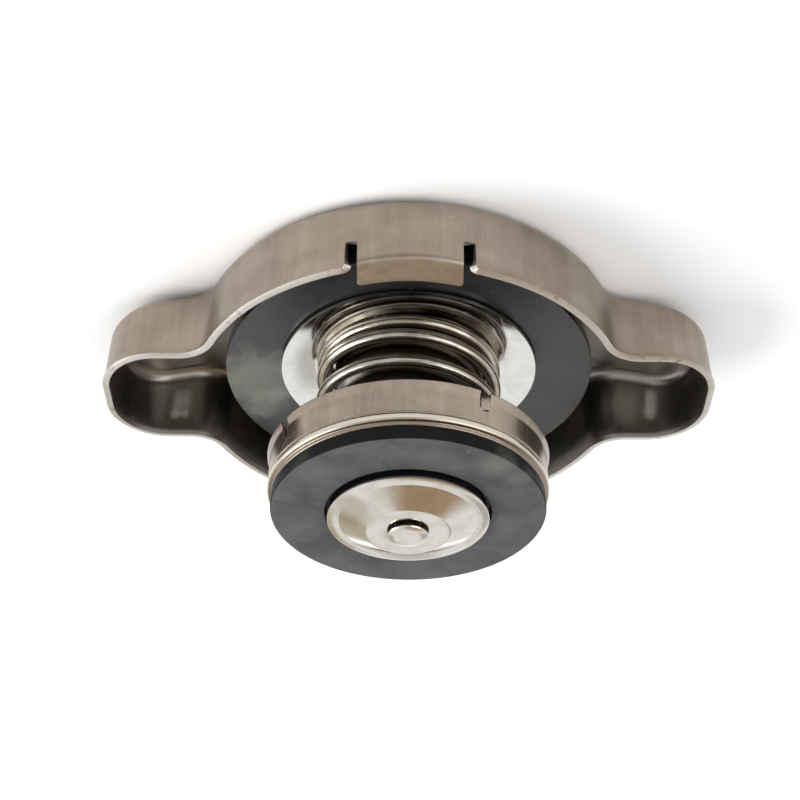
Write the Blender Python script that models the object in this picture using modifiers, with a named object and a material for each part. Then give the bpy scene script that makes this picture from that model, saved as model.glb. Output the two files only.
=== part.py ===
"""Radiator cap: a stamped cap shell with two hollow ears, and the sprung valve stack riveted inside it.

The cap lies on its crown as it would on a bench, with the valve up. The origin is the centre of the
crown's flat face, +Z runs from the crown to the valve, and the ears lie along X. Metres throughout.
"""

import math

import bmesh
import bpy
from mathutils import Matrix, Vector

MM = 0.001

# Cap shell, one stamping of stainless sheet
SHELL_SHEET = 0.8 * MM
SKIRT_RADIUS = 22.6 * MM
SKIRT_HEIGHT = 9.0 * MM
WALL_DRAFT = 0.25 * MM
RIM_FLARE = 0.15 * MM
RIM_FLARE_HEIGHT = 0.6 * MM
CROWN_CORNER = 2.0 * MM
CROWN_EDGE_FLAT = 0.6 * MM
CROWN_RECESS_RADIUS = 11.9 * MM
CROWN_RECESS_DEPTH = 1.85 * MM
CROWN_RECESS_SLOPE = 1.5 * MM

# Ears, drawn out of the skirt along X, with a face that rises from the crown to the tip
EAR_REACH = 32.05 * MM
EAR_HALF_WIDTH = 7.6 * MM
EAR_CORNER = 6.0 * MM
EAR_BLEND = 3.8 * MM
EAR_TIP_RISE = 1.75 * MM

# Retention tabs, cut free by two slits and bent in under the filler neck's cams
TAB_HALF_WIDTH = 5.15 * MM
TAB_SLIT = 1.2 * MM
TAB_SLIT_DEPTH = 3.3 * MM
TAB_TILT = 22.0
TAB_BEND = 0.9 * MM
TAB_LENGTH = 2.75 * MM
TAB_EDGE_SAG = 0.6 * MM
TAB_CORNER = 0.5 * MM

# Centre rivet
RIVET_RADIUS = 2.0 * MM
RIVET_HEAD_RADIUS = 4.2 * MM
RIVET_HEAD_HEIGHT = 0.9 * MM
RIVET_HEAD_EDGE = 0.3 * MM
RIVET_HEAD_FLAT_RADIUS = 2.5 * MM
RIVET_HEAD_ROUND = 0.6 * MM
RIVET_CLINCH_RADIUS = 3.4 * MM
RIVET_CLINCH_HEIGHT = 0.9 * MM
RIVET_CLINCH_EDGE = 0.35 * MM
RIVET_CLINCH_FLAT_RADIUS = 2.4 * MM
RIVET_CLINCH_ROUND = 0.3 * MM
RIVET_WASHER_RADIUS = 4.6 * MM
RIVET_WASHER_SHEET = 0.5 * MM

# Cover gasket and what lies behind and before it
GASKET_SLOPE = 0.17
SEAT_SLOPE = 0.22
CONE_START = 10.0 * MM
GASKET_MARGIN = 2.05 * MM
GASKET_RADIUS = SKIRT_RADIUS - WALL_DRAFT - SHELL_SHEET - GASKET_MARGIN
GASKET_THICK = 1.3 * MM
DIAPHRAGM_MARGIN = 0.8 * MM
DIAPHRAGM_RADIUS = GASKET_RADIUS - DIAPHRAGM_MARGIN
DIAPHRAGM_SHEET = 0.35 * MM
SEAT_RADIUS = 13.6 * MM
SEAT_SHEET = 0.45 * MM

# Bell, the cup that guides the valve and keeps it from falling out
BELL_RADIUS = 7.9 * MM
BELL_SHEET = 0.5 * MM
BELL_LENGTH = 10.5 * MM
BELL_LIP = 1.2 * MM
BELL_BEND = 0.9 * MM

# Main spring, wound left-handed
SPRING_RADIUS = 9.15 * MM
SPRING_WIRE = 1.3 * MM
SPRING_TURNS = 5.5
SPRING_CLOSED_TURNS = 0.9
SPRING_CLOSED_PITCH = 1.5 * MM
SPRING_START_ANGLE = -70.0
SPRING_POINTS_PER_TURN = 16

# Pressure valve: drum, its sleeve inside the bell, and the plate that closes its floor
VALVE_TRAVEL = 5.0 * MM
TRAVEL_MARGIN = 0.8 * MM
DRUM_RADIUS = 14.3 * MM
DRUM_MOUTH_RADIUS = 14.6 * MM
DRUM_FOOT_RADIUS = 13.8 * MM
DRUM_FOOT_ROUND = 0.5 * MM
DRUM_FOOT_BELL_HEIGHT = 0.95 * MM
DRUM_HEIGHT = 4.95 * MM
DRUM_SHEET = 0.5 * MM
DRUM_MOUTH_FLARE = 1.1 * MM
DRUM_GROOVE_HEIGHT = 1.6 * MM
DRUM_GROOVE_DEPTH = 0.25 * MM
DRUM_GROOVE_RUN = 0.5 * MM
DRUM_GROOVE_ROUND = 0.3 * MM
DRUM_HOLE_RADIUS = 4.9 * MM
NOTCH_COUNT = 4
NOTCH_FIRST_ANGLE = -121.0
NOTCH_WIDTH = 1.2 * MM
NOTCH_DEPTH = 2.2 * MM
SLEEVE_RADIUS = 5.9 * MM
SLEEVE_SHEET = 0.5 * MM
SLEEVE_FLANGE_RADIUS = 7.9 * MM
SLEEVE_BEND = 0.7 * MM
PLATE_RADIUS = 7.4 * MM
PLATE_SHEET = 0.4 * MM
PLATE_PORT_COUNT = 4
PLATE_PORT_RADIUS = 0.8 * MM
PLATE_PORT_CIRCLE = 3.6 * MM

# Main seal, moulded rubber
SEAL_RADIUS = 14.0 * MM
SEAL_THICK = 1.5 * MM
SEAL_BORE_RADIUS = 6.4 * MM
SEAL_BEAD_RADIUS = 7.9 * MM
SEAL_BEAD_HEIGHT = 0.5 * MM
SEAL_BEAD_ROUND = 0.3 * MM
SEAL_GROOVE_RADIUS = 8.9 * MM
SEAL_GROOVE_DEPTH = 0.15 * MM
SEAL_EDGE = 0.3 * MM
SEAL_BACK_EDGE = 0.15 * MM

# Vacuum valve: stepped dish, its stem and the light spring that holds it shut
DISH_RADIUS = 8.2 * MM
DISH_SHEET = 0.35 * MM
DISH_BRIM_INNER = 6.95 * MM
DISH_BRIM_BEND = 0.4 * MM
DISH_CROWN_RADIUS = 4.2 * MM
DISH_CROWN_BEND = 0.5 * MM
DISH_CROWN_HEIGHT = 1.3 * MM
STEM_RADIUS = 0.9 * MM
STEM_HEAD_RADIUS = 2.05 * MM
STEM_HEAD_HEIGHT = 0.6 * MM
STEM_HEAD_EDGE = 0.27 * MM
STEM_HEAD_FLAT_RADIUS = 1.1 * MM
STEM_HEAD_ROUND = 0.5 * MM
STEM_CLINCH_RADIUS = 1.3 * MM
STEM_CLINCH_HEIGHT = 0.5 * MM
KEEPER_RADIUS = 3.4 * MM
KEEPER_SHEET = 0.4 * MM
VACUUM_SPRING_RADIUS = 2.7 * MM
VACUUM_SPRING_WIRE = 0.4 * MM
VACUUM_SPRING_LENGTH = 4.6 * MM
VACUUM_SPRING_TURNS = 5.0
VACUUM_SPRING_CLOSED_TURNS = 0.8
VACUUM_SPRING_POINTS_PER_TURN = 10

# Clearances
SEAT_GAP = 0.05 * MM
SLIDE_GAP = 0.3 * MM
SHANK_GAP = 0.25 * MM
MERGE = 0.01 * MM

# Facets
LARGE_STEPS = 48
MEDIUM_STEPS = 32
SMALL_STEPS = 20
PORT_STEPS = 12
ARC_STEPS = 3
EAR_CORNER_STEPS = 5
EAR_BLEND_STEPS = 4
SKIRT_STEPS = 7
SHARP_ANGLE = 35.0

# Heights of the riveted stack, from the crown up
SHELL_FLOOR = CROWN_RECESS_DEPTH + SHELL_SHEET
DIAPHRAGM_Z = SHELL_FLOOR + SEAT_GAP
GASKET_Z = DIAPHRAGM_Z + DIAPHRAGM_SHEET + SEAT_GAP
SEAT_Z = GASKET_Z + GASKET_THICK + SEAT_GAP
BELL_Z = SEAT_Z + SEAT_SHEET + SEAT_GAP
RIVET_WASHER_Z = BELL_Z + BELL_SHEET + SEAT_GAP
RIVET_CLINCH_Z = RIVET_WASHER_Z + RIVET_WASHER_SHEET + SEAT_GAP
STACK_BORE = RIVET_RADIUS + SHANK_GAP

# Heights of the valve, from the bell's lip up
BELL_END_Z = BELL_Z + BELL_LENGTH
SLEEVE_FLARE_Z = BELL_END_Z - BELL_SHEET - SEAT_GAP
DRUM_FLOOR_Z = BELL_END_Z + VALVE_TRAVEL + TRAVEL_MARGIN
DRUM_FOOT_Z = DRUM_FLOOR_Z + DRUM_SHEET
DRUM_MOUTH_Z = DRUM_FOOT_Z - DRUM_HEIGHT
SLEEVE_FLANGE_Z = DRUM_FLOOR_Z - SEAT_GAP
PLATE_Z = DRUM_FOOT_Z + SEAT_GAP
SEAL_Z = DRUM_FOOT_Z + SEAT_GAP
SEAL_FACE_Z = SEAL_Z + SEAL_THICK
DISH_Z = SEAL_FACE_Z + SEAL_BEAD_HEIGHT + SEAT_GAP
DISH_CROWN_Z = DISH_Z + DISH_CROWN_HEIGHT
STEM_HEAD_Z = DISH_CROWN_Z + DISH_SHEET + SEAT_GAP
VACUUM_SPRING_TOP_Z = PLATE_Z - SEAT_GAP
KEEPER_Z = VACUUM_SPRING_TOP_Z - VACUUM_SPRING_LENGTH - SEAT_GAP - KEEPER_SHEET

parts = bpy.data.collections.new("radiator_cap")
cutters = bpy.data.collections.new("cutters")


def clear_scene():
    """Remove every object of the open file and link the two collections."""
    for item in list(bpy.data.objects):
        bpy.data.objects.remove(item, do_unlink=True)
    for collection in (parts, cutters):
        bpy.context.scene.collection.children.link(collection)


def material(name, colour, roughness, metallic):
    """One Principled material."""
    made = bpy.data.materials.new(name)
    made.use_nodes = True
    shader = made.node_tree.nodes["Principled BSDF"]
    shader.inputs["Base Color"].default_value = (*colour, 1.0)
    shader.inputs["Roughness"].default_value = roughness
    shader.inputs["Metallic"].default_value = metallic
    return made


def place(name, data, finish=None, parent=None):
    """A named object of the part, with its finish, at the world origin or under its body's empty."""
    item = bpy.data.objects.new(name, data)
    if finish is not None:
        data.materials.append(finish)
    parts.objects.link(item)
    if parent is not None:
        item.parent = parent
    return item


def body_empty(name):
    """The empty that carries one rigid body, on the cap's axis, where its joint turns or slides."""
    empty = bpy.data.objects.new(name, None)
    empty.empty_display_size = STEM_HEAD_RADIUS
    parts.objects.link(empty)
    return empty


# Profiles in the (radius, height) plane


def arc(centre, radius, start, end, steps):
    """Points of an arc, angles in degrees, both ends included."""
    points = []
    for step in range(steps + 1):
        angle = math.radians(start + (end - start) * step / steps)
        points.append((centre[0] + radius * math.cos(angle), centre[1] + radius * math.sin(angle)))
    return points


def rounded(corners, steps=ARC_STEPS):
    """A polyline whose inner corners (radius, height, round) are replaced by arcs."""
    path = [corners[0][:2]]
    for before, corner, after in zip(corners, corners[1:], corners[2:]):
        here = Vector(corner[:2])
        back = (Vector(before[:2]) - here).normalized()
        ahead = (Vector(after[:2]) - here).normalized()
        bend = corner[2] if len(corner) > 2 else 0.0
        half = back.angle(ahead) / 2
        if bend <= 0 or abs(half - math.pi / 2) < 0.01:
            path.append(tuple(here))
            continue
        reach = bend / math.tan(half)
        centre = here + (back + ahead).normalized() * bend / math.sin(half)
        first = here + back * reach - centre
        last = here + ahead * reach - centre
        turn = first.angle_signed(last)
        for step in range(steps + 1):
            spoke = first.copy()
            spoke.rotate(Matrix.Rotation(-turn * step / steps, 2))
            path.append(tuple(centre + spoke))
    path.append(corners[-1][:2])
    return path


def offset(path, distance):
    """The polyline moved sideways to its left by a distance, with mitred corners."""
    moved = []
    for index, point in enumerate(path):
        normals = []
        if index > 0:
            normals.append(_left(path[index - 1], point))
        if index < len(path) - 1:
            normals.append(_left(point, path[index + 1]))
        total = sum(normals, Vector((0.0, 0.0)))
        mitre = total * len(normals) / total.length_squared
        moved.append(tuple(Vector(point) + mitre * distance))
    return moved


def _left(start, end):
    """Unit normal to the left of a straight run."""
    run = (Vector(end) - Vector(start)).normalized()
    return Vector((-run.y, run.x))


def sheet(corners, thickness, steps=ARC_STEPS):
    """Closed profile of a bent sheet: the rounded line, and the same line moved left by the sheet."""
    line = rounded(corners, steps)
    return line + offset(line, thickness)[::-1]


def area(loop):
    """Signed area of a closed profile, positive when it runs anticlockwise."""
    pairs = zip(loop, loop[1:] + loop[:1])
    return sum(a[0] * b[1] - b[0] * a[1] for a, b in pairs) / 2


def turned_mesh(name, profile, closed=True):
    """Mesh of the profile's edges, run down its outer side, for a Screw modifier."""
    loop = profile if area(profile) < 0 else profile[::-1]
    mesh = bpy.data.meshes.new(name)
    edges = [(index, index + 1) for index in range(len(loop) - 1)]
    if closed:
        edges.append((len(loop) - 1, 0))
    mesh.from_pydata([(radius, 0.0, height) for radius, height in loop], edges, [])
    return mesh


def turn(name, profile, finish, parent, steps=LARGE_STEPS, closed=True):
    """A turned piece: its profile swept once round the cap's axis."""
    item = place(name, turned_mesh(name, profile, closed), finish, parent)
    screw = item.modifiers.new("turn", "SCREW")
    screw.axis = "Z"
    screw.angle = math.tau
    screw.steps = steps
    screw.render_steps = steps
    screw.use_merge_vertices = True
    screw.merge_threshold = MERGE
    screw.use_smooth_shade = True
    return item


def ring(inner, outer, low, high):
    """Closed profile of a flat washer."""
    return [(outer, high), (outer, low), (inner, low), (inner, high)]


def wire(name, points, diameter, finish, parent):
    """A round wire along points, with closed ends."""
    curve = bpy.data.curves.new(name, "CURVE")
    curve.dimensions = "3D"
    curve.bevel_depth = diameter / 2
    curve.bevel_resolution = 2
    curve.use_fill_caps = True
    spline = curve.splines.new("POLY")
    spline.points.add(len(points) - 1)
    for target, point in zip(spline.points, points):
        target.co = (*point, 1.0)
    return place(name, curve, finish, parent)


def coil(radius, heights, turns, ends, start, hand, points_per_turn):
    """Centre line of a compression spring with closed ends, between two heights.

    Ends are (turns, pitch) of each closed end, and the open turns share the rest of the height. The
    start is an angle in degrees, and hand is 1 for a right-handed spring, -1 for a left-handed one.
    """
    low, high = heights
    closed_turns, closed_pitch = ends
    count = round(turns * points_per_turn)
    open_turns = turns - 2 * closed_turns
    open_pitch = (high - low - 2 * closed_turns * closed_pitch) / open_turns
    points = []
    for step in range(count + 1):
        done = turns * step / count
        rise = closed_pitch * min(done, closed_turns)
        rise += open_pitch * min(max(done - closed_turns, 0.0), open_turns)
        rise += closed_pitch * max(done - closed_turns - open_turns, 0.0)
        angle = math.radians(start) + hand * math.tau * done
        points.append((radius * math.cos(angle), radius * math.sin(angle), low + rise))
    return points


def cylinder_cutter(name, radius, low, high, centre):
    """A round cutter standing on the XY plane."""
    mesh = bpy.data.meshes.new(name)
    shape = bmesh.new()
    bmesh.ops.create_cone(
        shape, cap_ends=True, segments=PORT_STEPS, radius1=radius, radius2=radius, depth=high - low
    )
    bmesh.ops.translate(shape, verts=shape.verts, vec=(centre[0], centre[1], (low + high) / 2))
    shape.to_mesh(mesh)
    shape.free()
    return hidden(name, mesh)


def hidden(name, mesh):
    """A cutter object that shows as wire only."""
    item = bpy.data.objects.new(name, mesh)
    item.display_type = "WIRE"
    item.hide_render = True
    cutters.objects.link(item)
    return item


def cut(item, cutter):
    """Take the cutter away from the piece."""
    boolean = item.modifiers.new(cutter.name, "BOOLEAN")
    boolean.operation = "DIFFERENCE"
    boolean.solver = "EXACT"
    boolean.object = cutter


# Cap shell: one grid of columns round the plan and rows down each column


def on_circle(radius, angle):
    """Point of a circle about the axis, angle in degrees."""
    return Vector((radius * math.cos(math.radians(angle)), radius * math.sin(math.radians(angle))))


def angle_at(across):
    """Angle in degrees at which the skirt's circle is a given distance from the tab's middle."""
    return math.degrees(math.acos(across / SKIRT_RADIUS))


def ear_stations():
    """Rim of half an ear, from its tip to the skirt: (kind, rim point, outward normal, crown angle)."""
    corner = (EAR_REACH - EAR_CORNER, EAR_HALF_WIDTH - EAR_CORNER)
    blend_y = EAR_HALF_WIDTH + EAR_BLEND
    blend = (math.sqrt((SKIRT_RADIUS + EAR_BLEND) ** 2 - blend_y**2), blend_y)
    blend_angle = math.degrees(math.atan2(blend[1], blend[0]))
    rim = [(Vector((EAR_REACH, 0.0)), Vector((1.0, 0.0)))]
    for point in arc(corner, EAR_CORNER, 0.0, 90.0, EAR_CORNER_STEPS):
        rim.append((Vector(point), (Vector(point) - Vector(corner)).normalized()))
    for point in arc(blend, EAR_BLEND, 270.0, 180.0 + blend_angle, EAR_BLEND_STEPS):
        rim.append((Vector(point), (Vector(blend) - Vector(point)).normalized()))
    stations = []
    for point, normal in rim:
        foot = point - normal * (WALL_DRAFT + CROWN_CORNER)
        stations.append(("ear", point, normal, math.degrees(math.atan2(foot.y, foot.x))))
    return stations


def plan_stations():
    """A quarter of the rim, from the ear's tip to the tab's middle."""
    stations = ear_stations()
    start = stations[-1][3]
    slit = angle_at(TAB_HALF_WIDTH + TAB_SLIT)
    angles = [("skirt", start + (slit - start) * step / SKIRT_STEPS) for step in range(1, SKIRT_STEPS + 1)]
    corner_x = TAB_HALF_WIDTH - TAB_CORNER
    angles += [("tab", angle_at(across)) for across in (TAB_HALF_WIDTH, corner_x, corner_x / 2, 0.0)]
    return stations + [
        (kind, on_circle(SKIRT_RADIUS, angle), on_circle(1.0, angle), angle) for kind, angle in angles
    ]


def shell_column(point, normal, angle):
    """Rows of a column: down the wall, round the corner and over the crown to the rivet hole."""
    rise = EAR_TIP_RISE * (point.length - SKIRT_RADIUS) / (EAR_REACH - SKIRT_RADIUS)
    corner_z = rise + CROWN_CORNER
    heights = [SKIRT_HEIGHT, SKIRT_HEIGHT - RIM_FLARE_HEIGHT, SKIRT_HEIGHT - TAB_SLIT_DEPTH]
    rows = []
    for height in heights:
        inset = WALL_DRAFT * (SKIRT_HEIGHT - height) / (SKIRT_HEIGHT - corner_z)
        rows.append((point - normal * inset, height))
    rows[0] = (point + normal * RIM_FLARE, SKIRT_HEIGHT)
    centre = (-WALL_DRAFT - CROWN_CORNER, corner_z)
    rows += [(point + normal * out, z) for out, z in arc(centre, CROWN_CORNER, 0.0, -90.0, ARC_STEPS)]
    flat_radius = SKIRT_RADIUS - WALL_DRAFT - CROWN_CORNER - CROWN_EDGE_FLAT
    crown = [
        (flat_radius, 0.0),
        (CROWN_RECESS_RADIUS, 0.0),
        (CROWN_RECESS_RADIUS - CROWN_RECESS_SLOPE, CROWN_RECESS_DEPTH),
        (RIVET_RADIUS + SEAT_GAP, CROWN_RECESS_DEPTH),
    ]
    return rows + [(on_circle(radius, angle), height) for radius, height in crown]


def tab_path(wall, is_edge):
    """A tab over one column, as (y, z) from the slits' end: wall, bend, and a lip that lies in one plane.

    The wall is the column's point at the slits' end.
    """
    slope = math.tan(math.radians(TAB_TILT))
    edge = SKIRT_RADIUS - TAB_LENGTH
    end = edge - TAB_EDGE_SAG * (wall.x / TAB_HALF_WIDTH) ** 2 + (TAB_CORNER if is_edge else 0.0)
    corners = [
        (wall.y, SKIRT_HEIGHT - TAB_SLIT_DEPTH),
        (wall.y, SKIRT_HEIGHT + (edge - wall.y) * slope, TAB_BEND),
        (end, SKIRT_HEIGHT + (edge - end) * slope),
    ]
    return rounded(corners)


def cap_shell(finish):
    """The stamped shell: a quarter grid of its outer skin, mirrored twice and given its sheet."""
    shape = bmesh.new()
    slit_row = 2
    columns = []
    lips = []
    for kind, point, normal, angle in plan_stations():
        rows = shell_column(point, normal, angle)
        if kind == "tab":
            wall = rows[slit_row][0]
            path = tab_path(wall, not lips)
            rows[0] = (Vector((wall.x, path[1][0])), path[1][1])
            rows[1] = ((rows[0][0] + wall) / 2, (rows[0][1] + rows[slit_row][1]) / 2)
        verts = [shape.verts.new((p.x, p.y, z)) for p, z in rows]
        columns.append((kind, verts))
        if kind == "tab":
            lips.append([verts[0]] + [shape.verts.new((wall.x, y, z)) for y, z in path[2:]])
    for (left_kind, left), (right_kind, right) in zip(columns, columns[1:]):
        first = slit_row if (left_kind, right_kind) == ("skirt", "tab") else 0
        for row in range(first, len(left) - 1):
            shape.faces.new((left[row], left[row + 1], right[row + 1], right[row]))
    for left, right in zip(lips, lips[1:]):
        for row in range(len(left) - 1):
            shape.faces.new((left[row + 1], left[row], right[row], right[row + 1]))
    mesh = bpy.data.meshes.new("cap_shell")
    shape.to_mesh(mesh)
    shape.free()
    item = place("cap_shell", mesh, finish)
    mirror = item.modifiers.new("both sides", "MIRROR")
    mirror.use_axis = (True, True, False)
    mirror.use_clip = True
    mirror.merge_threshold = MERGE
    solid = item.modifiers.new("sheet", "SOLIDIFY")
    solid.thickness = SHELL_SHEET
    solid.offset = -1.0
    solid.use_even_offset = True
    solid.use_quality_normals = True
    mesh.shade_smooth()
    mesh.set_sharp_from_angle(angle=math.radians(SHARP_ANGLE))
    return item


def centre_rivet(finish):
    """The rivet: domed head in the crown's recess, shank through the stack, clinched inside the bell."""
    head_z = CROWN_RECESS_DEPTH - SEAT_GAP
    head_tip = head_z - RIVET_HEAD_HEIGHT
    clinch_top = RIVET_CLINCH_Z + RIVET_CLINCH_HEIGHT
    profile = rounded(
        [
            (0.0, clinch_top),
            (RIVET_CLINCH_FLAT_RADIUS, clinch_top),
            (RIVET_CLINCH_RADIUS, RIVET_CLINCH_Z + RIVET_CLINCH_EDGE, RIVET_CLINCH_ROUND),
            (RIVET_CLINCH_RADIUS, RIVET_CLINCH_Z),
            (RIVET_RADIUS, RIVET_CLINCH_Z),
            (RIVET_RADIUS, head_z),
            (RIVET_HEAD_RADIUS, head_z),
            (RIVET_HEAD_RADIUS, head_z - RIVET_HEAD_EDGE),
            (RIVET_HEAD_FLAT_RADIUS, head_tip, RIVET_HEAD_ROUND),
            (0.0, head_tip),
        ],
        steps=2,
    )
    return turn("centre_rivet", profile, finish, None, SMALL_STEPS, closed=False)


def cone_washer(radius, low, thickness, slope):
    """Closed profile of a washer that is flat about the rivet and then rises towards its rim."""
    rise = (radius - CONE_START) * slope
    line = [(STACK_BORE, low), (CONE_START, low), (radius, low + rise)]
    return line + [(r, z + thickness) for r, z in line[::-1]]


def bell(finish, parent):
    """The bell: a drawn cup, riveted by its floor, with a lip turned in at its mouth."""
    corners = [
        (STACK_BORE, BELL_Z),
        (BELL_RADIUS, BELL_Z, BELL_BEND),
        (BELL_RADIUS, BELL_END_Z, BELL_BEND),
        (BELL_RADIUS - BELL_SHEET - BELL_LIP, BELL_END_Z),
    ]
    return turn("bell", sheet(corners, BELL_SHEET, steps=2), finish, parent, MEDIUM_STEPS)


def valve_drum(finish, parent):
    """The pressure valve's drum: flared mouth, a groove above the foot, notches in the mouth."""
    groove_z = DRUM_FOOT_Z - DRUM_GROOVE_HEIGHT
    corners = [
        (DRUM_HOLE_RADIUS, DRUM_FOOT_Z),
        (DRUM_FOOT_RADIUS, DRUM_FOOT_Z, DRUM_FOOT_ROUND),
        (DRUM_RADIUS, DRUM_FOOT_Z - DRUM_FOOT_BELL_HEIGHT, DRUM_GROOVE_ROUND),
        (DRUM_RADIUS - DRUM_GROOVE_DEPTH, groove_z),
        (DRUM_RADIUS, groove_z - DRUM_GROOVE_RUN),
        (DRUM_RADIUS, DRUM_MOUTH_Z + DRUM_MOUTH_FLARE),
        (DRUM_MOUTH_RADIUS, DRUM_MOUTH_Z),
    ]
    item = turn("valve_drum", sheet(corners, -DRUM_SHEET, steps=1), finish, parent)
    for index in range(NOTCH_COUNT):
        angle = NOTCH_FIRST_ANGLE + 360.0 * index / NOTCH_COUNT
        cut(item, notch_cutter(f"notch_cutter_{index + 1}", angle))
    return item


def notch_cutter(name, angle):
    """A block that cuts one notch through the drum's wall, as far below its mouth as above it."""
    mesh = bpy.data.meshes.new(name)
    shape = bmesh.new()
    bmesh.ops.create_cube(shape, size=1.0)
    reach = 2 * (DRUM_MOUTH_RADIUS - DRUM_RADIUS + DRUM_SHEET + SLIDE_GAP)
    bmesh.ops.scale(shape, vec=(reach, NOTCH_WIDTH, 2 * NOTCH_DEPTH), verts=shape.verts)
    bmesh.ops.translate(shape, vec=(DRUM_RADIUS, 0.0, DRUM_MOUTH_Z), verts=shape.verts)
    shape.to_mesh(mesh)
    shape.free()
    item = hidden(name, mesh)
    item.rotation_euler = (0.0, 0.0, math.radians(angle))
    return item


def valve_sleeve(finish, parent):
    """The sleeve: flared inside the bell's lip, flanged on the drum's floor."""
    flare_radius = BELL_RADIUS - BELL_BEND - SEAT_GAP
    corners = [
        (flare_radius, SLEEVE_FLARE_Z - SLEEVE_SHEET),
        (SLEEVE_RADIUS - SLEEVE_SHEET, SLEEVE_FLARE_Z - SLEEVE_SHEET, SLEEVE_BEND),
        (SLEEVE_RADIUS - SLEEVE_SHEET, SLEEVE_FLANGE_Z, SLEEVE_BEND),
        (SLEEVE_FLANGE_RADIUS, SLEEVE_FLANGE_Z),
    ]
    profile = sheet(corners, -SLEEVE_SHEET, steps=2)
    return turn("valve_sleeve", profile, finish, parent, MEDIUM_STEPS)


def valve_plate(finish, parent):
    """The plate under the seal, which guides the stem and lets coolant through its ports."""
    bore = STEM_RADIUS + SLIDE_GAP
    profile = ring(bore, PLATE_RADIUS, PLATE_Z, PLATE_Z + PLATE_SHEET)
    item = turn("valve_plate", profile, finish, parent, MEDIUM_STEPS)
    for index in range(PLATE_PORT_COUNT):
        angle = 360.0 * (index + 0.5) / PLATE_PORT_COUNT
        centre = on_circle(PLATE_PORT_CIRCLE, angle)
        name = f"port_cutter_{index + 1}"
        ends = (PLATE_Z - PLATE_SHEET, PLATE_Z + 2 * PLATE_SHEET)
        cut(item, cylinder_cutter(name, PLATE_PORT_RADIUS, *ends, centre))
    return item


def main_seal(finish, parent):
    """The rubber seal: a flat sealing face, a groove, and the bead on which the vacuum valve shuts."""
    plate_top = PLATE_Z + PLATE_SHEET + SEAT_GAP
    bead_top = SEAL_FACE_Z + SEAL_BEAD_HEIGHT
    groove = SEAL_FACE_Z - SEAL_GROOVE_DEPTH
    profile = rounded(
        [
            (PLATE_RADIUS + SEAT_GAP, SEAL_Z),
            (PLATE_RADIUS + SEAT_GAP, plate_top),
            (SEAL_BORE_RADIUS, plate_top),
            (SEAL_BORE_RADIUS, bead_top, SEAL_BEAD_ROUND),
            (SEAL_BEAD_RADIUS, bead_top, SEAL_BEAD_ROUND),
            (SEAL_BEAD_RADIUS, groove),
            (SEAL_GROOVE_RADIUS, SEAL_FACE_Z),
            (SEAL_RADIUS, SEAL_FACE_Z, SEAL_EDGE),
            (SEAL_RADIUS, SEAL_Z, SEAL_BACK_EDGE),
            (PLATE_RADIUS + SEAT_GAP, SEAL_Z),
        ],
        steps=1,
    )
    return turn("main_seal", profile[:-1], finish, parent)


def vacuum_dish(finish, parent):
    """The vacuum valve: a flat brim that shuts on the seal's bead, and a stepped crown for the stem."""
    corners = [
        (DISH_RADIUS, DISH_Z),
        (DISH_BRIM_INNER, DISH_Z, DISH_BRIM_BEND),
        (DISH_CROWN_RADIUS, DISH_CROWN_Z, DISH_CROWN_BEND),
        (STEM_RADIUS + SEAT_GAP, DISH_CROWN_Z),
    ]
    return turn("vacuum_dish", sheet(corners, -DISH_SHEET, steps=1), finish, parent, MEDIUM_STEPS)


def vacuum_stem(finish, parent):
    """The vacuum valve's stem: domed head on the dish, clinched end under the keeper."""
    head_top = STEM_HEAD_Z + STEM_HEAD_HEIGHT
    clinch_z = KEEPER_Z - SEAT_GAP
    profile = rounded(
        [
            (0.0, head_top),
            (STEM_HEAD_FLAT_RADIUS, head_top, STEM_HEAD_ROUND),
            (STEM_HEAD_RADIUS, STEM_HEAD_Z + STEM_HEAD_EDGE),
            (STEM_HEAD_RADIUS, STEM_HEAD_Z),
            (STEM_RADIUS, STEM_HEAD_Z),
            (STEM_RADIUS, clinch_z),
            (STEM_CLINCH_RADIUS, clinch_z),
            (STEM_CLINCH_RADIUS, clinch_z - STEM_CLINCH_HEIGHT),
            (0.0, clinch_z - STEM_CLINCH_HEIGHT),
        ],
        steps=2,
    )
    return turn("vacuum_stem", profile, finish, parent, SMALL_STEPS, closed=False)


def main_spring(finish, parent):
    """The main spring, from the seat washer to the drum's floor round the bell."""
    low = SEAT_Z + SEAT_SHEET + SEAT_GAP + SPRING_WIRE / 2
    high = DRUM_FLOOR_Z - SEAT_GAP - SPRING_WIRE / 2
    ends = (SPRING_CLOSED_TURNS, SPRING_CLOSED_PITCH)
    place_and_hand = (SPRING_START_ANGLE, -1, SPRING_POINTS_PER_TURN)
    line = coil(SPRING_RADIUS, (low, high), SPRING_TURNS, ends, *place_and_hand)
    return wire("main_spring", line, SPRING_WIRE, finish, parent)


def vacuum_spring(finish, parent):
    """The light spring round the stem, from the keeper to the plate."""
    high = VACUUM_SPRING_TOP_Z - VACUUM_SPRING_WIRE / 2
    low = KEEPER_Z + KEEPER_SHEET + SEAT_GAP + VACUUM_SPRING_WIRE / 2
    ends = (VACUUM_SPRING_CLOSED_TURNS, VACUUM_SPRING_WIRE + SEAT_GAP)
    place_and_hand = (0.0, 1, VACUUM_SPRING_POINTS_PER_TURN)
    line = coil(VACUUM_SPRING_RADIUS, (low, high), VACUUM_SPRING_TURNS, ends, *place_and_hand)
    return wire("vacuum_spring", line, VACUUM_SPRING_WIRE, finish, parent)


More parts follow.
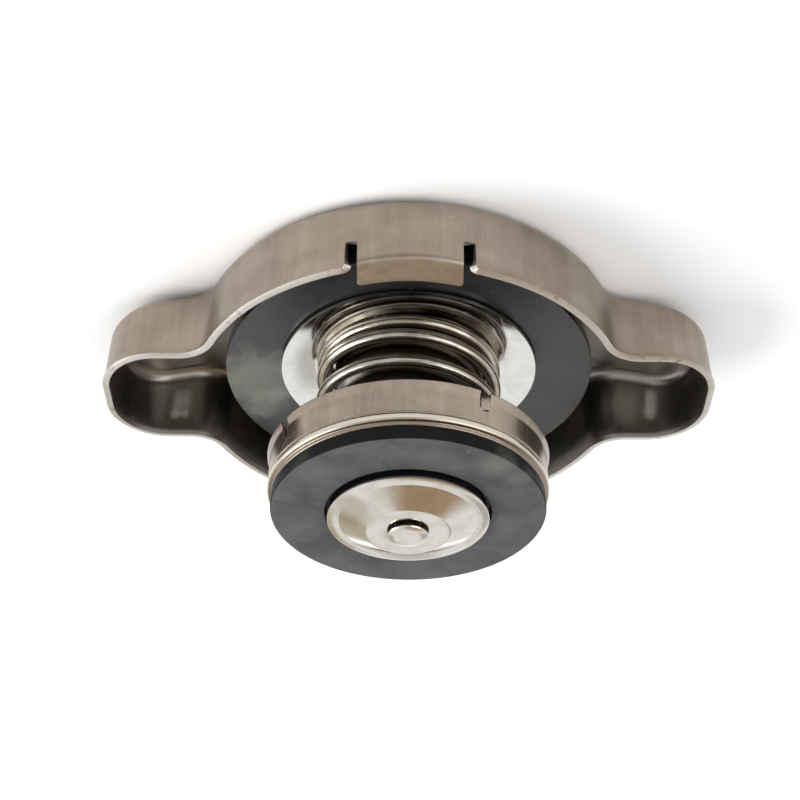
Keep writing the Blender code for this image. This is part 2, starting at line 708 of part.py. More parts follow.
def build():
    """Make every finish, body and piece."""
    clear_scene()
    stainless = material("brushed stainless", (0.50, 0.46, 0.41), 0.34, 1.0)
    drum_steel = material("drum stainless", (0.56, 0.51, 0.45), 0.30, 1.0)
    plated = material("bright plating", (0.72, 0.71, 0.68), 0.10, 1.0)
    dish_steel = material("polished stainless", (0.74, 0.71, 0.65), 0.14, 1.0)
    spring_steel = material("spring steel", (0.44, 0.41, 0.36), 0.26, 1.0)
    rubber = material("black rubber", (0.035, 0.037, 0.040), 0.62, 0.0)
    seal_rubber = material("seal rubber", (0.075, 0.077, 0.080), 0.66, 0.0)

    stack = body_empty("stack_axis")
    valve = body_empty("valve_axis")
    valve.parent = stack
    vacuum = body_empty("vacuum_axis")
    vacuum.parent = valve

    cap_shell(stainless)
    centre_rivet(stainless)

    diaphragm = cone_washer(DIAPHRAGM_RADIUS, DIAPHRAGM_Z, DIAPHRAGM_SHEET, GASKET_SLOPE)
    turn("diaphragm_spring", diaphragm, spring_steel, stack, MEDIUM_STEPS)
    gasket = cone_washer(GASKET_RADIUS, GASKET_Z, GASKET_THICK, GASKET_SLOPE)
    turn("cover_gasket", gasket, rubber, stack)
    turn("spring_seat", cone_washer(SEAT_RADIUS, SEAT_Z, SEAT_SHEET, SEAT_SLOPE), plated, stack)
    bell(plated, stack)
    washer = ring(STACK_BORE, RIVET_WASHER_RADIUS, RIVET_WASHER_Z, RIVET_WASHER_Z + RIVET_WASHER_SHEET)
    turn("rivet_washer", washer, stainless, stack, SMALL_STEPS)
    main_spring(spring_steel, stack)

    valve_drum(drum_steel, valve)
    valve_sleeve(drum_steel, valve)
    valve_plate(drum_steel, valve)
    main_seal(seal_rubber, valve)
    vacuum_spring(spring_steel, valve)

    vacuum_dish(dish_steel, vacuum)
    vacuum_stem(dish_steel, vacuum)
    keeper = ring(STEM_RADIUS + SEAT_GAP, KEEPER_RADIUS, KEEPER_Z, KEEPER_Z + KEEPER_SHEET)
    turn("stem_keeper", keeper, dish_steel, vacuum, SMALL_STEPS)


build()
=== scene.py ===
"""Looks of the radiator cap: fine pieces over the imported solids, their finishes, and the studio.

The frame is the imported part's own: metres, origin at the centre of the crown's flat face on which
the cap lies, +Z towards the valve, ears along X, tabs at +Y and -Y.
"""

import logging
import math
from dataclasses import dataclass
from enum import Enum
from typing import Any, Sequence

import bmesh
import bpy
from mathutils import Matrix, Vector, noise
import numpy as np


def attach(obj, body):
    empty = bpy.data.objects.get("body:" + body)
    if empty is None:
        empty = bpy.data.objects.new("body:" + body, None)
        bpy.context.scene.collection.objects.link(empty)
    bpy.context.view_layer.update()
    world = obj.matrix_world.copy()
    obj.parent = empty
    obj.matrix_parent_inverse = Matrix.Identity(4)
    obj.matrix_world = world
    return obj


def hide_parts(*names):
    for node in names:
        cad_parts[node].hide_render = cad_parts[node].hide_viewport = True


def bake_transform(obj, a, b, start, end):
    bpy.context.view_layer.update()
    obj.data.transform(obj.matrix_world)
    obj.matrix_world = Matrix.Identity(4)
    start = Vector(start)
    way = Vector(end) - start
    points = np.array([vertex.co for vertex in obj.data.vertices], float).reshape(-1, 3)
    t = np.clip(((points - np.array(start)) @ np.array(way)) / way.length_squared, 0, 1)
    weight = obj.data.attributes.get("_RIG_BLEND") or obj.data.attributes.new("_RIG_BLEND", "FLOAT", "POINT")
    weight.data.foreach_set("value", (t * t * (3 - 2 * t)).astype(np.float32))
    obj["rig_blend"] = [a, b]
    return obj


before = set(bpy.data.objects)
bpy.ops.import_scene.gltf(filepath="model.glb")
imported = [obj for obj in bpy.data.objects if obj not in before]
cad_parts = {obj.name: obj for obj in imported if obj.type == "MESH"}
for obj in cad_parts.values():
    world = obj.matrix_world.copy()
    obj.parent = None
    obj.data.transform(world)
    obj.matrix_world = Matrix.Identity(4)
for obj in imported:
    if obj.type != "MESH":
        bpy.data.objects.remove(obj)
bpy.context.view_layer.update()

MM = 0.001
SHARP_ANGLE = math.radians(38)
SMOOTH_ANGLE = math.radians(140)  # sides that meet at more than this make no corner
TINY = 1e-9
LOG = logging.getLogger("radiator_cap")

Colour = tuple[float, float, float]
Point2 = tuple[float, float]
Corner = tuple[float, ...]  # radius, height and, where it is rounded, the rounding
Spot = tuple[float, float, float, float, float]  # x, y, z and reach in millimetres, and strength
# A band of painted light by height: a painted highlight or a painted shade.
PaintedLightBand = tuple[float, float, float, Colour]  # height and reach in millimetres, strength and colour


# Shader building


class Signal:
    """An output socket whose Python arithmetic adds Math nodes."""

    def __init__(self, recipe: "Recipe", socket: bpy.types.NodeSocket) -> None:
        """Wrap an output socket of the material under construction."""
        self.recipe = recipe
        self.socket = socket

    def math(self, operation: str, *values: "Signal | float") -> "Signal":
        """Add a Math node with these inputs."""
        return self.recipe.out("ShaderNodeMath", {"operation": operation}, dict(enumerate(values)))

    def __add__(self, other: "Signal | float") -> "Signal":
        """Sum."""
        return self.math("ADD", self, other)

    __radd__ = __add__

    def __sub__(self, other: "Signal | float") -> "Signal":
        """Difference."""
        return self.math("SUBTRACT", self, other)

    def __rsub__(self, other: float) -> "Signal":
        """Difference from a number."""
        return self.math("SUBTRACT", other, self)

    def __mul__(self, other: "Signal | float") -> "Signal":
        """Product."""
        return self.math("MULTIPLY", self, other)

    __rmul__ = __mul__

    def root(self) -> "Signal":
        """Square root."""
        return self.math("SQRT", self)

    def most(self, other: "Signal | float") -> "Signal":
        """The larger of two."""
        return self.math("MAXIMUM", self, other)

    def step(self, low: float, high: float) -> "Signal":
        """Rise smoothly from 0 at low to 1 at high; a high below low falls instead.

        Args:
            low: value that gives 0.
            high: value that gives 1.

        Returns:
            The eased share.
        """
        falls = high < low
        inputs = {0: self, 1: min(low, high), 2: max(low, high)}
        eased = self.recipe.out("ShaderNodeMapRange", {"interpolation_type": "SMOOTHSTEP"}, inputs)
        return 1.0 - eased if falls else eased


class Recipe:
    """The node tree of one material, with its Principled shader."""

    def __init__(self, name: str, metallic: float = 0.0) -> None:
        """Start a material.

        Args:
            name: the material's name.
            metallic: 1 for bare metal.
        """
        self.material = bpy.data.materials.new(name)
        self.material.use_nodes = True
        self.tree = self.material.node_tree
        self.shader = self.tree.nodes["Principled BSDF"]
        self.set(Metallic=metallic)
        self.place = self.node("ShaderNodeTexCoord").outputs["Object"]

    @classmethod
    def of(cls, tree: bpy.types.NodeTree) -> "Recipe":
        """Work on a tree that already exists.

        Args:
            tree: the tree, such as the world's.

        Returns:
            A recipe without a material.
        """
        made = cls.__new__(cls)
        made.tree = tree
        return made

    def seen_rays(self) -> Signal:
        """Pick the rays that show a backdrop: from the camera, off gloss and through glass.

        Returns:
            1 for those rays and 0 for the others.
        """
        rays = self.node("ShaderNodeLightPath").outputs
        kinds = ("Camera", "Glossy", "Transmission")
        camera, glossy, through = (Signal(self, rays[f"Is {kind} Ray"]) for kind in kinds)
        return camera.most(glossy).most(through)

    def node(
        self,
        kind: str,
        settings: dict[str, Any] | None = None,
        inputs: dict[Any, Any] | None = None,
    ) -> Any:
        """Add a node.

        Args:
            kind: the node's type.
            settings: properties, set before the inputs.
            inputs: values or links by socket name or number.

        Returns:
            The node.
        """
        made = self.tree.nodes.new(kind)
        for key, value in (settings or {}).items():
            setattr(made, key, value)
        for key, value in (inputs or {}).items():
            self.feed(made.inputs[key], value)
        return made

    def feed(self, socket: bpy.types.NodeSocket, value: Any) -> None:
        """Link or set one input.

        Args:
            socket: the input.
            value: a Signal, an output socket, a number or a colour.
        """
        if isinstance(value, Signal):
            self.tree.links.new(value.socket, socket)
        elif isinstance(value, bpy.types.NodeSocket):
            self.tree.links.new(value, socket)
        elif isinstance(value, tuple) and socket.type == "RGBA":
            socket.default_value = (*value, 1.0)
        else:
            socket.default_value = value

    def out(
        self,
        kind: str,
        settings: dict[str, Any] | None = None,
        inputs: dict[Any, Any] | None = None,
    ) -> Signal:
        """Add a node and wrap its first output."""
        return Signal(self, self.node(kind, settings, inputs).outputs[0])

    def set(self, **values: Any) -> None:
        """Set or link the shader's own sockets; an underscore stands for a space."""
        for key, value in values.items():
            self.feed(self.shader.inputs[key.replace("_", " ")], value)

    def axes(self) -> tuple[Signal, Signal, Signal]:
        """Place on the object along X, Y and Z, in millimetres."""
        parts = self.node("ShaderNodeSeparateXYZ", None, {0: self.place})
        return tuple(Signal(self, parts.outputs[index]) * 1000.0 for index in range(3))

    def upward(self) -> Signal:
        """How far the surface faces up, from -1 to 1."""
        normal = self.node("ShaderNodeTexCoord").outputs["Normal"]
        return Signal(self, self.node("ShaderNodeSeparateXYZ", None, {0: normal}).outputs[2])

    def noise(
        self,
        scale: float | Sequence[float],
        detail: float = 3.0,
        rough: float = 0.5,
        shift: float = 0.0,
        warp: float = 0.0,
    ) -> Signal:
        """Noise from 0 to 1 with a mean of a half, drawn out along the axes of small scale.

        Args:
            scale: cycles per millimetre, the same all ways or along X, Y and Z.
            detail: octaves.
            rough: strength of the finer octaves.
            shift: offset that keeps two patterns apart.
            warp: distortion.

        Returns:
            The pattern.
        """
        along = scale if isinstance(scale, Sequence) else (scale,) * 3
        factors = tuple(value / MM for value in along)
        mapping = {"Vector": self.place, "Scale": factors, "Location": (shift, shift, shift)}
        inputs = {
            "Vector": self.node("ShaderNodeMapping", {"vector_type": "POINT"}, mapping).outputs[0],
            "Scale": 1.0,
            "Detail": detail,
            "Roughness": rough,
            "Distortion": warp,
        }
        return self.out("ShaderNodeTexNoise", {"noise_dimensions": "3D"}, inputs)

    def mix(self, share: Signal | float, low: Any, high: Any) -> bpy.types.NodeSocket:
        """Mix two colours.

        Args:
            share: 0 gives low and 1 gives high.
            low: colour or link.
            high: colour or link.

        Returns:
            The mixed colour.
        """
        made = self.node("ShaderNodeMix", {"data_type": "RGBA"}, {"Factor": share})
        colours = [socket for socket in made.inputs if socket.type == "RGBA"]
        self.feed(colours[0], low)
        self.feed(colours[1], high)
        return next(socket for socket in made.outputs if socket.type == "RGBA")

    def blots(self, colour: Any, spots: Sequence[Spot], tone: Colour, ragged: Signal) -> Any:
        """Lay soft blots over a colour.

        Args:
            colour: what lies under them.
            spots: where they lie, how far they reach and how strong they are.
            tone: their colour.
            ragged: noise that tears their outline.

        Returns:
            The colour with its blots.
        """
        place = self.axes()
        for *centre, reach, strength in spots:
            across, along, up = (axis - middle for axis, middle in zip(place, centre))
            distance = (across * across + along * along + up * up).root()
            share = (distance + (ragged - 0.5) * reach * 1.4).step(reach, reach * 0.3)
            colour = self.mix(share * strength, colour, tone)
        return colour

    def bump(self, height: Signal, depth: float, under: Any = None) -> bpy.types.NodeSocket:
        """Turn a height from 0 to 1 into a normal.

        Args:
            height: the relief.
            depth: its depth in metres.
            under: a normal to add to.

        Returns:
            The normal.
        """
        inputs = {"Strength": 1.0, "Distance": depth, "Height": height}
        if under is not None:
            inputs["Normal"] = under
        return self.node("ShaderNodeBump", None, inputs).outputs[0]

    def finish(self, colour: Any, roughness: Any, normal: Any = None) -> bpy.types.Material:
        """Wire the shader's varying inputs.

        Args:
            colour: base colour.
            roughness: roughness.
            normal: normal, if the surface has relief.

        Returns:
            The finished material.
        """
        self.set(Base_Color=colour, Roughness=roughness)
        if normal is not None:
            self.set(Normal=normal)
        return self.material


# Finishes


@dataclass(frozen=True)
class SheetSteel:
    """Stainless sheet, rubbed along the axis, with drift in its tint and scratches; upward faces lighter by
    wear and painted highlight, spots of painted reflection, and bands of painted highlight and painted
    shade.
    """

    name: str
    tint: Colour = (0.385, 0.325, 0.262)
    shade: Colour = (0.24, 0.19, 0.15)
    roughness: float = 0.34
    grain: tuple[float, float, float] = (1.0, 1.0, 0.035)
    grain_depth: float = 0.0012 * MM
    scratch_depth: float = 0.006 * MM
    wear_and_top_light: float = 0.0
    wear_and_painted_light: Colour = (0.66, 0.62, 0.52)
    painted_reflection_spots: tuple[Spot, ...] = ()
    painted_light_bands: tuple[PaintedLightBand, ...] = ()

    def material(self) -> bpy.types.Material:
        """Make the finish.

        Returns:
            The finished material.
        """
        recipe = Recipe(self.name, metallic=1.0)
        close, wide = ([cycles * stretch for stretch in self.grain] for cycles in (3.2, 0.7))
        fine = recipe.noise(close, detail=4.0, rough=0.6)
        coarse = recipe.noise(wide, detail=3.0, rough=0.55, shift=11.0)
        drift = recipe.noise((0.13, 0.13, 0.20), detail=4.0, rough=0.6, shift=5.0)
        marks = recipe.noise((0.55, 0.12, 0.9), detail=2.0, rough=0.7, shift=23.0, warp=0.6)
        rubs = recipe.noise((1.9, 1.9, 0.10), detail=2.0, rough=0.5, shift=37.0, warp=0.2)
        tone = drift.step(0.30, 0.70) * 0.50 + coarse.step(0.25, 0.75) * 0.32
        tone = tone + fine.step(0.25, 0.75) * 0.18
        colour = recipe.mix(tone, self.shade, self.tint)
        # Upward faces lighter: partly wear, partly a painted highlight from above.
        if self.wear_and_top_light > 0.0:
            share = recipe.upward().step(0.6, 0.9) * (0.6 + coarse * 0.8) * self.wear_and_top_light
            colour = recipe.mix(share, colour, self.wear_and_painted_light)
        # Painted reflections: bright, less metallic spots.
        if self.painted_reflection_spots:
            colour = recipe.blots(colour, self.painted_reflection_spots, self.wear_and_painted_light, coarse)
            dull = recipe.blots((1.0, 1.0, 1.0), self.painted_reflection_spots, (0.2, 0.2, 0.2), coarse)
            recipe.set(Metallic=dull)
        # Bands of painted highlight and painted shade by height.
        height = recipe.axes()[2]
        for middle, reach, strength, paint in self.painted_light_bands:
            away = (height - middle).most(middle - height)
            colour = recipe.mix(away.step(reach, reach * 0.4) * strength, colour, paint)
        wear = marks.step(0.71, 0.76).most(rubs.step(0.73, 0.79) * 0.7)
        colour = recipe.mix(wear * 0.25, colour, tuple(min(1.0, c * 1.5) for c in self.tint))
        rough = self.roughness + (fine - 0.5) * 0.10 + (coarse - 0.5) * 0.06
        rough = rough + (0.5 - drift) * 0.10 + wear * 0.10
        normal = recipe.bump(fine, self.grain_depth)
        normal = recipe.bump(wear, self.scratch_depth, normal)
        return recipe.finish(colour, rough, normal)


@dataclass(frozen=True)
class CutEdge:
    """The sheared edge of the sheet: brighter than its faces, burnished and torn by the shear."""

    name: str = "sheared edge"
    tint: Colour = (0.60, 0.575, 0.53)
    shade: Colour = (0.33, 0.295, 0.25)

    def material(self) -> bpy.types.Material:
        """Make the finish.

        Returns:
            The finished material.
        """
        recipe = Recipe(self.name, metallic=1.0)
        tear = recipe.noise(1.1, detail=4.0, rough=0.65)
        dull = recipe.noise(0.25, detail=2.0, rough=0.5, shift=9.0)
        share = tear.step(0.28, 0.48).most(dull.step(0.42, 0.55))
        colour = recipe.mix(share, self.shade, self.tint)
        return recipe.finish(colour, 0.24 + tear * 0.22, recipe.bump(tear, 0.006 * MM))


@dataclass(frozen=True)
class BrightPlate:
    """Bright plated or polished sheet with faint waves, haze, fine scratches and blots of painted
    reflection.
    """

    name: str
    tint: Colour = (0.86, 0.85, 0.82)
    shade: Colour = (0.62, 0.58, 0.52)
    roughness: float = 0.09
    wave: float = 0.02 * MM
    haze: float = 0.05
    film_and_painted_light: Colour = (0.10, 0.095, 0.085)
    painted_reflections: tuple[Spot, ...] = ()

    def material(self) -> bpy.types.Material:
        """Make the finish.

        Returns:
            The finished material.
        """
        recipe = Recipe(self.name, metallic=1.0)
        swell = recipe.noise(0.16, detail=2.0, rough=0.5, shift=3.0)
        haze = recipe.noise(0.45, detail=4.0, rough=0.6, shift=17.0)
        hairs = recipe.noise((0.25, 3.2, 0.8), detail=2.0, rough=0.6, shift=29.0, warp=0.8)
        hairs = hairs.step(0.66, 0.72)
        colour = recipe.mix(haze.step(0.38, 0.72) * 0.5, self.tint, self.shade)
        # Blots of painted reflection.
        colour = recipe.blots(colour, self.painted_reflections, self.film_and_painted_light, swell)
        rough = self.roughness + haze.step(0.42, 0.78) * self.haze + hairs * 0.12
        normal = recipe.bump(swell, self.wave)
        normal = recipe.bump(hairs, 0.0012 * MM, normal)
        return recipe.finish(colour, rough, normal)


@dataclass(frozen=True)
class DrawnWire:
    """Spring wire: drawn along its length, slightly oily, with darker drift."""

    name: str
    tint: Colour = (0.50, 0.46, 0.40)
    shade: Colour = (0.30, 0.26, 0.21)
    roughness: float = 0.24

    def material(self) -> bpy.types.Material:
        """Make the finish.

        Returns:
            The finished material.
        """
        recipe = Recipe(self.name, metallic=1.0)
        lines = recipe.noise((0.25, 0.25, 7.0), detail=3.0, rough=0.6)
        drift = recipe.noise(0.3, detail=3.0, rough=0.55, shift=13.0)
        colour = recipe.mix(drift.step(0.3, 0.7), self.shade, self.tint)
        rough = self.roughness + (lines - 0.5) * 0.14 + (drift - 0.5) * 0.12
        return recipe.finish(colour, rough, recipe.bump(lines, 0.003 * MM))


@dataclass(frozen=True)
class Rubber:
    """Moulded rubber: mottled, with dust specks, smudges, some of them painted sheen, and a film on upward
    faces that is partly wear and partly painted light from above.
    """

    name: str
    dark: Colour = (0.010, 0.010, 0.013)
    pale: Colour = (0.024, 0.024, 0.026)
    dust_and_sheen: Colour = (0.26, 0.26, 0.21)
    roughness: float = 0.42
    relief: float = 0.018 * MM
    specular: float = 0.42
    film_and_painted_light: Colour = (0.024, 0.024, 0.026)
    smudges_and_painted_sheen: tuple[Spot, ...] = ()

    def material(self) -> bpy.types.Material:
        """Make the finish.

        Returns:
            The finished material.
        """
        recipe = Recipe(self.name)
        recipe.set(Specular_IOR_Level=self.specular)
        mottle = recipe.noise((0.20, 0.20, 0.35), detail=4.0, rough=0.62, shift=2.0, warp=0.4)
        pores = recipe.noise(2.4, detail=3.0, rough=0.6, shift=7.0)
        specks = recipe.noise(1.5, detail=1.0, rough=0.4, shift=19.0).step(0.79, 0.81)
        colour = recipe.mix(mottle.step(0.34, 0.70), self.dark, self.pale)
        # Upward faces take the film colour: partly wear, partly painted light from above.
        wear_and_top_light = recipe.upward().step(0.75, 0.97) * (0.55 + mottle.step(0.25, 0.75) * 0.45)
        colour = recipe.mix(wear_and_top_light, colour, self.film_and_painted_light)
        colour = recipe.mix(specks * 0.75, colour, self.dust_and_sheen)
        rough = self.roughness + (mottle - 0.5) * 0.22 + (pores - 0.5) * 0.12
        # Blots of dust colour: real smudges on the seal, painted sheen on the gasket.
        colour = recipe.blots(colour, self.smudges_and_painted_sheen, self.dust_and_sheen, mottle)
        normal = recipe.bump(pores, self.relief)
        normal = recipe.bump(mottle, self.relief * 3, normal)
        return recipe.finish(colour, rough, normal)


@dataclass(frozen=True)
class Finishes:
    """The materials of the cap, each made once."""

    shell: bpy.types.Material
    inside: bpy.types.Material
    edge: bpy.types.Material
    drum: bpy.types.Material
    plate: bpy.types.Material
    bell: bpy.types.Material
    dish: bpy.types.Material
    wire: bpy.types.Material
    gasket: bpy.types.Material
    seal: bpy.types.Material

    @classmethod
    def make(cls) -> "Finishes":
        """Build every material.

        Returns:
            The set.
        """
        return cls(
            # Upward faces of the shell lighter: partly wear, partly a painted highlight.
            shell=SheetSteel("shell steel", wear_and_top_light=0.30).material(),
            inside=SheetSteel(
                "shell inside",
                tint=(0.35, 0.325, 0.29),
                shade=(0.25, 0.235, 0.215),
                roughness=0.33,
                # Painted reflections: bright spots on the inner walls of the ears.
                painted_reflection_spots=(
                    (25.0, 6.9, 4.3, 1.7, 0.50),
                    (25.1, 6.9, 5.5, 1.7, 0.50),
                    (25.7, 6.9, 6.6, 1.0, 0.55),
                    (24.7, 6.9, 6.6, 1.0, 0.55),
                    (-23.8, 6.9, 5.0, 3.4, 0.35),
                    (-27.0, 6.9, 3.8, 1.2, 0.70),
                    (-27.0, 6.9, 4.6, 1.2, 0.70),
                    (-26.9, 6.9, 5.4, 1.2, 0.70),
                    (-26.8, 6.9, 6.2, 1.2, 0.60),
                ),
            ).material(),
            edge=CutEdge().material(),
            drum=SheetSteel(
                "drum steel",
                tint=(0.39, 0.33, 0.265),
                shade=(0.20, 0.16, 0.125),
                roughness=0.26,
                grain_depth=0.0004 * MM,
                scratch_depth=0.002 * MM,
                # Painted highlight on the foot's bead, painted shade in the neck between bead and seal.
                painted_light_bands=(
                    (20.98, 0.36, 0.70, (0.66, 0.62, 0.54)),
                    (21.62, 0.42, 0.50, (0.22, 0.175, 0.14)),
                ),
            ).material(),
            plate=BrightPlate(
                "bright plating",
                tint=(0.76, 0.755, 0.735),
                shade=(0.62, 0.60, 0.56),
                # Painted reflection: dark blots on the seat's near side for the spring's dark reflection.
                painted_reflections=(
                    (-8.2, -9.6, 5.2, 3.6, 0.75),
                    (-3.5, -12.6, 5.2, 6.0, 0.85),
                    (3.0, -12.6, 5.2, 6.0, 0.85),
                    (8.2, -9.6, 5.2, 4.4, 0.85),
                ),
            ).material(),
            # Painted shade: the bell is tinted near black for the shade inside the spring.
            bell=BrightPlate(
                "painted shade plating",
                tint=(0.13, 0.115, 0.10),
                shade=(0.09, 0.08, 0.07),
                roughness=0.22,
            ).material(),
            dish=BrightPlate(
                "polished dish",
                tint=(0.68, 0.665, 0.62),
                shade=(0.50, 0.44, 0.33),
                roughness=0.10,
                wave=0.06 * MM,
                # Painted reflection: warm dark blots on the far brim and one side of the cone.
                film_and_painted_light=(0.42, 0.37, 0.28),
                painted_reflections=((-0.5, 7.6, 24.1, 4.0, 0.70), (5.3, -2.5, 24.6, 3.0, 0.75)),
            ).material(),
            wire=DrawnWire("spring wire").material(),
            gasket=Rubber(
                "gasket rubber",
                dark=(0.004, 0.004, 0.006),
                pale=(0.012, 0.012, 0.013),
                roughness=0.38,
                specular=0.9,
                film_and_painted_light=(0.010, 0.010, 0.011),
                # Painted sheen: grey blots on the gasket for the sheen of its surface.
                smudges_and_painted_sheen=(
                    (17.0, 2.0, 5.6, 6.8, 0.52),
                    (15.8, 6.0, 5.6, 3.0, 0.20),
                    (14.2, 5.0, 5.4, 1.7, 0.60),
                ),
            ).material(),
            seal=Rubber(
                "seal rubber",
                dark=(0.003, 0.003, 0.004),
                pale=(0.008, 0.008, 0.009),
                roughness=0.5,
                specular=0.10,
                # Film on the seal's upward face: partly wear, partly painted light from above.
                film_and_painted_light=(0.110, 0.107, 0.112),
                smudges_and_painted_sheen=(
                    (-8.5, -9.4, 23.3, 2.4, 0.25),
                    (-10.8, -7.0, 23.3, 1.6, 0.18),
                    (9.5, -8.0, 23.3, 2.8, 0.12),
                ),
            ).material(),
        )


# Profiles and meshes


def arc(centre: Point2, radius: float, start: float, end: float, steps: int) -> list[Point2]:
    """Points of an arc.

    Args:
        centre: its centre.
        radius: its radius.
        start: first angle in degrees.
        end: last angle in degrees.
        steps: number of chords.

    Returns:
        The points, both ends included.
    """
    angles = [math.radians(start + (end - start) * step / steps) for step in range(steps + 1)]
    x, y = centre
    return [(x + radius * math.cos(angle), y + radius * math.sin(angle)) for angle in angles]


def rounded(corners: Sequence[Corner], steps: int = 6) -> list[Point2]:
    """Round the inner corners of a polyline.

    Args:
        corners: (radius, height) or (radius, height, round) points.
        steps: chords per rounding.

    Returns:
        The rounded polyline.
    """
    path = [tuple(corners[0][:2])]
    for before, corner, after in zip(corners, corners[1:], corners[2:]):
        here = Vector(corner[:2])
        back = (Vector(before[:2]) - here).normalized()
        ahead = (Vector(after[:2]) - here).normalized()
        bend = corner[2] if len(corner) > 2 else 0.0
        half = back.angle(ahead) / 2
        if bend <= 0 or abs(half - math.pi / 2) < 0.01:
            path.append(tuple(here))
            continue
        reach = bend / math.tan(half)
        centre = here + (back + ahead).normalized() * bend / math.sin(half)
        first = here + back * reach - centre
        swing = first.angle_signed(here + ahead * reach - centre)
        for step in range(steps + 1):
            spoke = first.copy()
            spoke.rotate(Matrix.Rotation(-swing * step / steps, 2))
            path.append(tuple(centre + spoke))
    path.append(tuple(corners[-1][:2]))
    return path


def offset(path: Sequence[Point2], distance: float) -> list[Point2]:
    """Move a polyline to its left.

    Args:
        path: the points.
        distance: how far, negative for the right.

    Returns:
        The moved points.
    """
    moved = []
    for index, point in enumerate(path):
        normals = []
        for start, end in ((index - 1, index), (index, index + 1)):
            if start >= 0 and end < len(path):
                run = (Vector(path[end]) - Vector(path[start])).normalized()
                normals.append(Vector((-run.y, run.x)))
        total = sum(normals, Vector((0.0, 0.0)))
        moved.append(tuple(Vector(point) + total * len(normals) / total.length_squared * distance))
    return moved


def sheet(corners: Sequence[Corner], thickness: float) -> list[Point2]:
    """Closed profile of a bent sheet, laid to the left of its rounded line."""
    line = rounded(corners)
    return line + offset(line, thickness)[::-1]


def flat_ring(bore: float, radius: float, low: float, height: float) -> list[Point2]:
    """Closed profile of a flat washer."""
    return [(radius, low + height), (radius, low), (bore, low), (bore, low + height)]


def softened(loop: Sequence[Point2], edge: float) -> list[Point2]:
    """Break the sharp corners of a closed profile.

    Args:
        loop: the profile.
        edge: largest reach of the rounding along each side.

    Returns:
        The profile with two-step corners.
    """
    made = []
    count = len(loop)
    for index in range(count):
        before, here, after = (Vector(loop[(index + k) % count]) for k in (-1, 0, 1))
        back, ahead = before - here, after - here
        if min(back.length, ahead.length) < TINY or back.angle(ahead) > SMOOTH_ANGLE:
            made.append(tuple(here))
            continue
        reach = min(edge, back.length * 0.45, ahead.length * 0.45)
        first, last = here + back.normalized() * reach, here + ahead.normalized() * reach
        middle = here * 0.5 + (first + last) * 0.25
        made.extend([tuple(first), tuple(middle), tuple(last)])
    return made


def lathe(name: str, loop: Sequence[Point2], segments: int = 160) -> bpy.types.Object:
    """A closed profile turned once round the axis.

    Args:
        name: the piece's name.
        loop: (radius, height) points; those at radius 0 make one vertex.
        segments: facets round the axis.

    Returns:
        The piece, in the scene, shaded smooth.
    """
    area = sum(a[0] * b[1] - b[0] * a[1] for a, b in zip(loop, [*loop[1:], loop[0]]))
    path = list(loop) if area > 0 else list(loop)[::-1]
    shape = bmesh.new()
    rows = []
    for radius, height in path:
        if radius < TINY:
            rows.append([shape.verts.new((0.0, 0.0, height))] * segments)
            continue
        angles = (math.tau * step / segments for step in range(segments))
        ring = [(radius * math.cos(angle), radius * math.sin(angle), height) for angle in angles]
        rows.append([shape.verts.new(place) for place in ring])
    for low, high in zip(rows, rows[1:] + rows[:1]):
        for index in range(segments):
            after = (index + 1) % segments
            corners = dict.fromkeys([low[index], low[after], high[after], high[index]])
            if len(corners) > 2:
                shape.faces.new(list(corners))
    return piece(name, shape)


def placed(name: str, data: bpy.types.ID) -> bpy.types.Object:
    """Put a mesh, lamp or camera into the scene.

    Args:
        name: the object's name.
        data: what it shows.

    Returns:
        The object.
    """
    made = bpy.data.objects.new(name, data)
    bpy.context.scene.collection.objects.link(made)
    return made


def piece(name: str, shape: bmesh.types.BMesh) -> bpy.types.Object:
    """Store a bmesh as a smooth object in the scene.

    Args:
        name: the piece's name.
        shape: the mesh under construction, which is freed.

    Returns:
        The piece.
    """
    mesh = bpy.data.meshes.new(name)
    shape.to_mesh(mesh)
    shape.free()
    made = placed(name, mesh)
    smooth(made)
    return made


def smooth(item: bpy.types.Object) -> None:
    """Shade smooth, keeping the edges that are sharper than SHARP_ANGLE."""
    item.data.shade_smooth()
    item.data.set_sharp_from_angle(angle=SHARP_ANGLE)


def bake(item: bpy.types.Object) -> None:
    """Apply every modifier of a piece and shade it again.

    Args:
        item: the piece.
    """
    graph = bpy.context.evaluated_depsgraph_get()
    mesh = bpy.data.meshes.new_from_object(item.evaluated_get(graph))
    item.modifiers.clear()
    item.data = mesh
    smooth(item)


def walls(
    shape: bmesh.types.BMesh, low: list[bmesh.types.BMVert], high: list[bmesh.types.BMVert]
) -> list[bmesh.types.BMFace]:
    """Join two rings of vertices by a quad per side."""
    sides = zip(low, low[1:] + low[:1], high[1:] + high[:1], high)
    return [shape.faces.new(side) for side in sides]


def wire(name: str, line: Sequence[Vector], radius: float, sides: int = 20) -> bpy.types.Object:
    """A round wire with flat, slightly broken ends.

    Args:
        name: the piece's name.
        line: its centre line.
        radius: half its diameter.
        sides: facets round the wire.

    Returns:
        The piece.
    """
    shape = bmesh.new()
    rings = []
    last = len(line) - 1
    for index, point in enumerate(line):
        run = (line[min(index + 1, last)] - line[max(index - 1, 0)]).normalized()
        out = Vector((point.x, point.y, 0.0)).normalized()
        side = (out - run * out.dot(run)).normalized()
        up = run.cross(side)
        turns = (math.tau * step / sides for step in range(sides))
        spokes = [(side * math.cos(turn) + up * math.sin(turn)) * radius for turn in turns]
        rings.append([shape.verts.new(point + spoke) for spoke in spokes])
    for low, high in zip(rings, rings[1:]):
        walls(shape, low, high)
    shape.faces.new(rings[0][::-1])
    shape.faces.new(rings[-1])
    bmesh.ops.recalc_face_normals(shape, faces=shape.faces)
    return piece(name, shape)


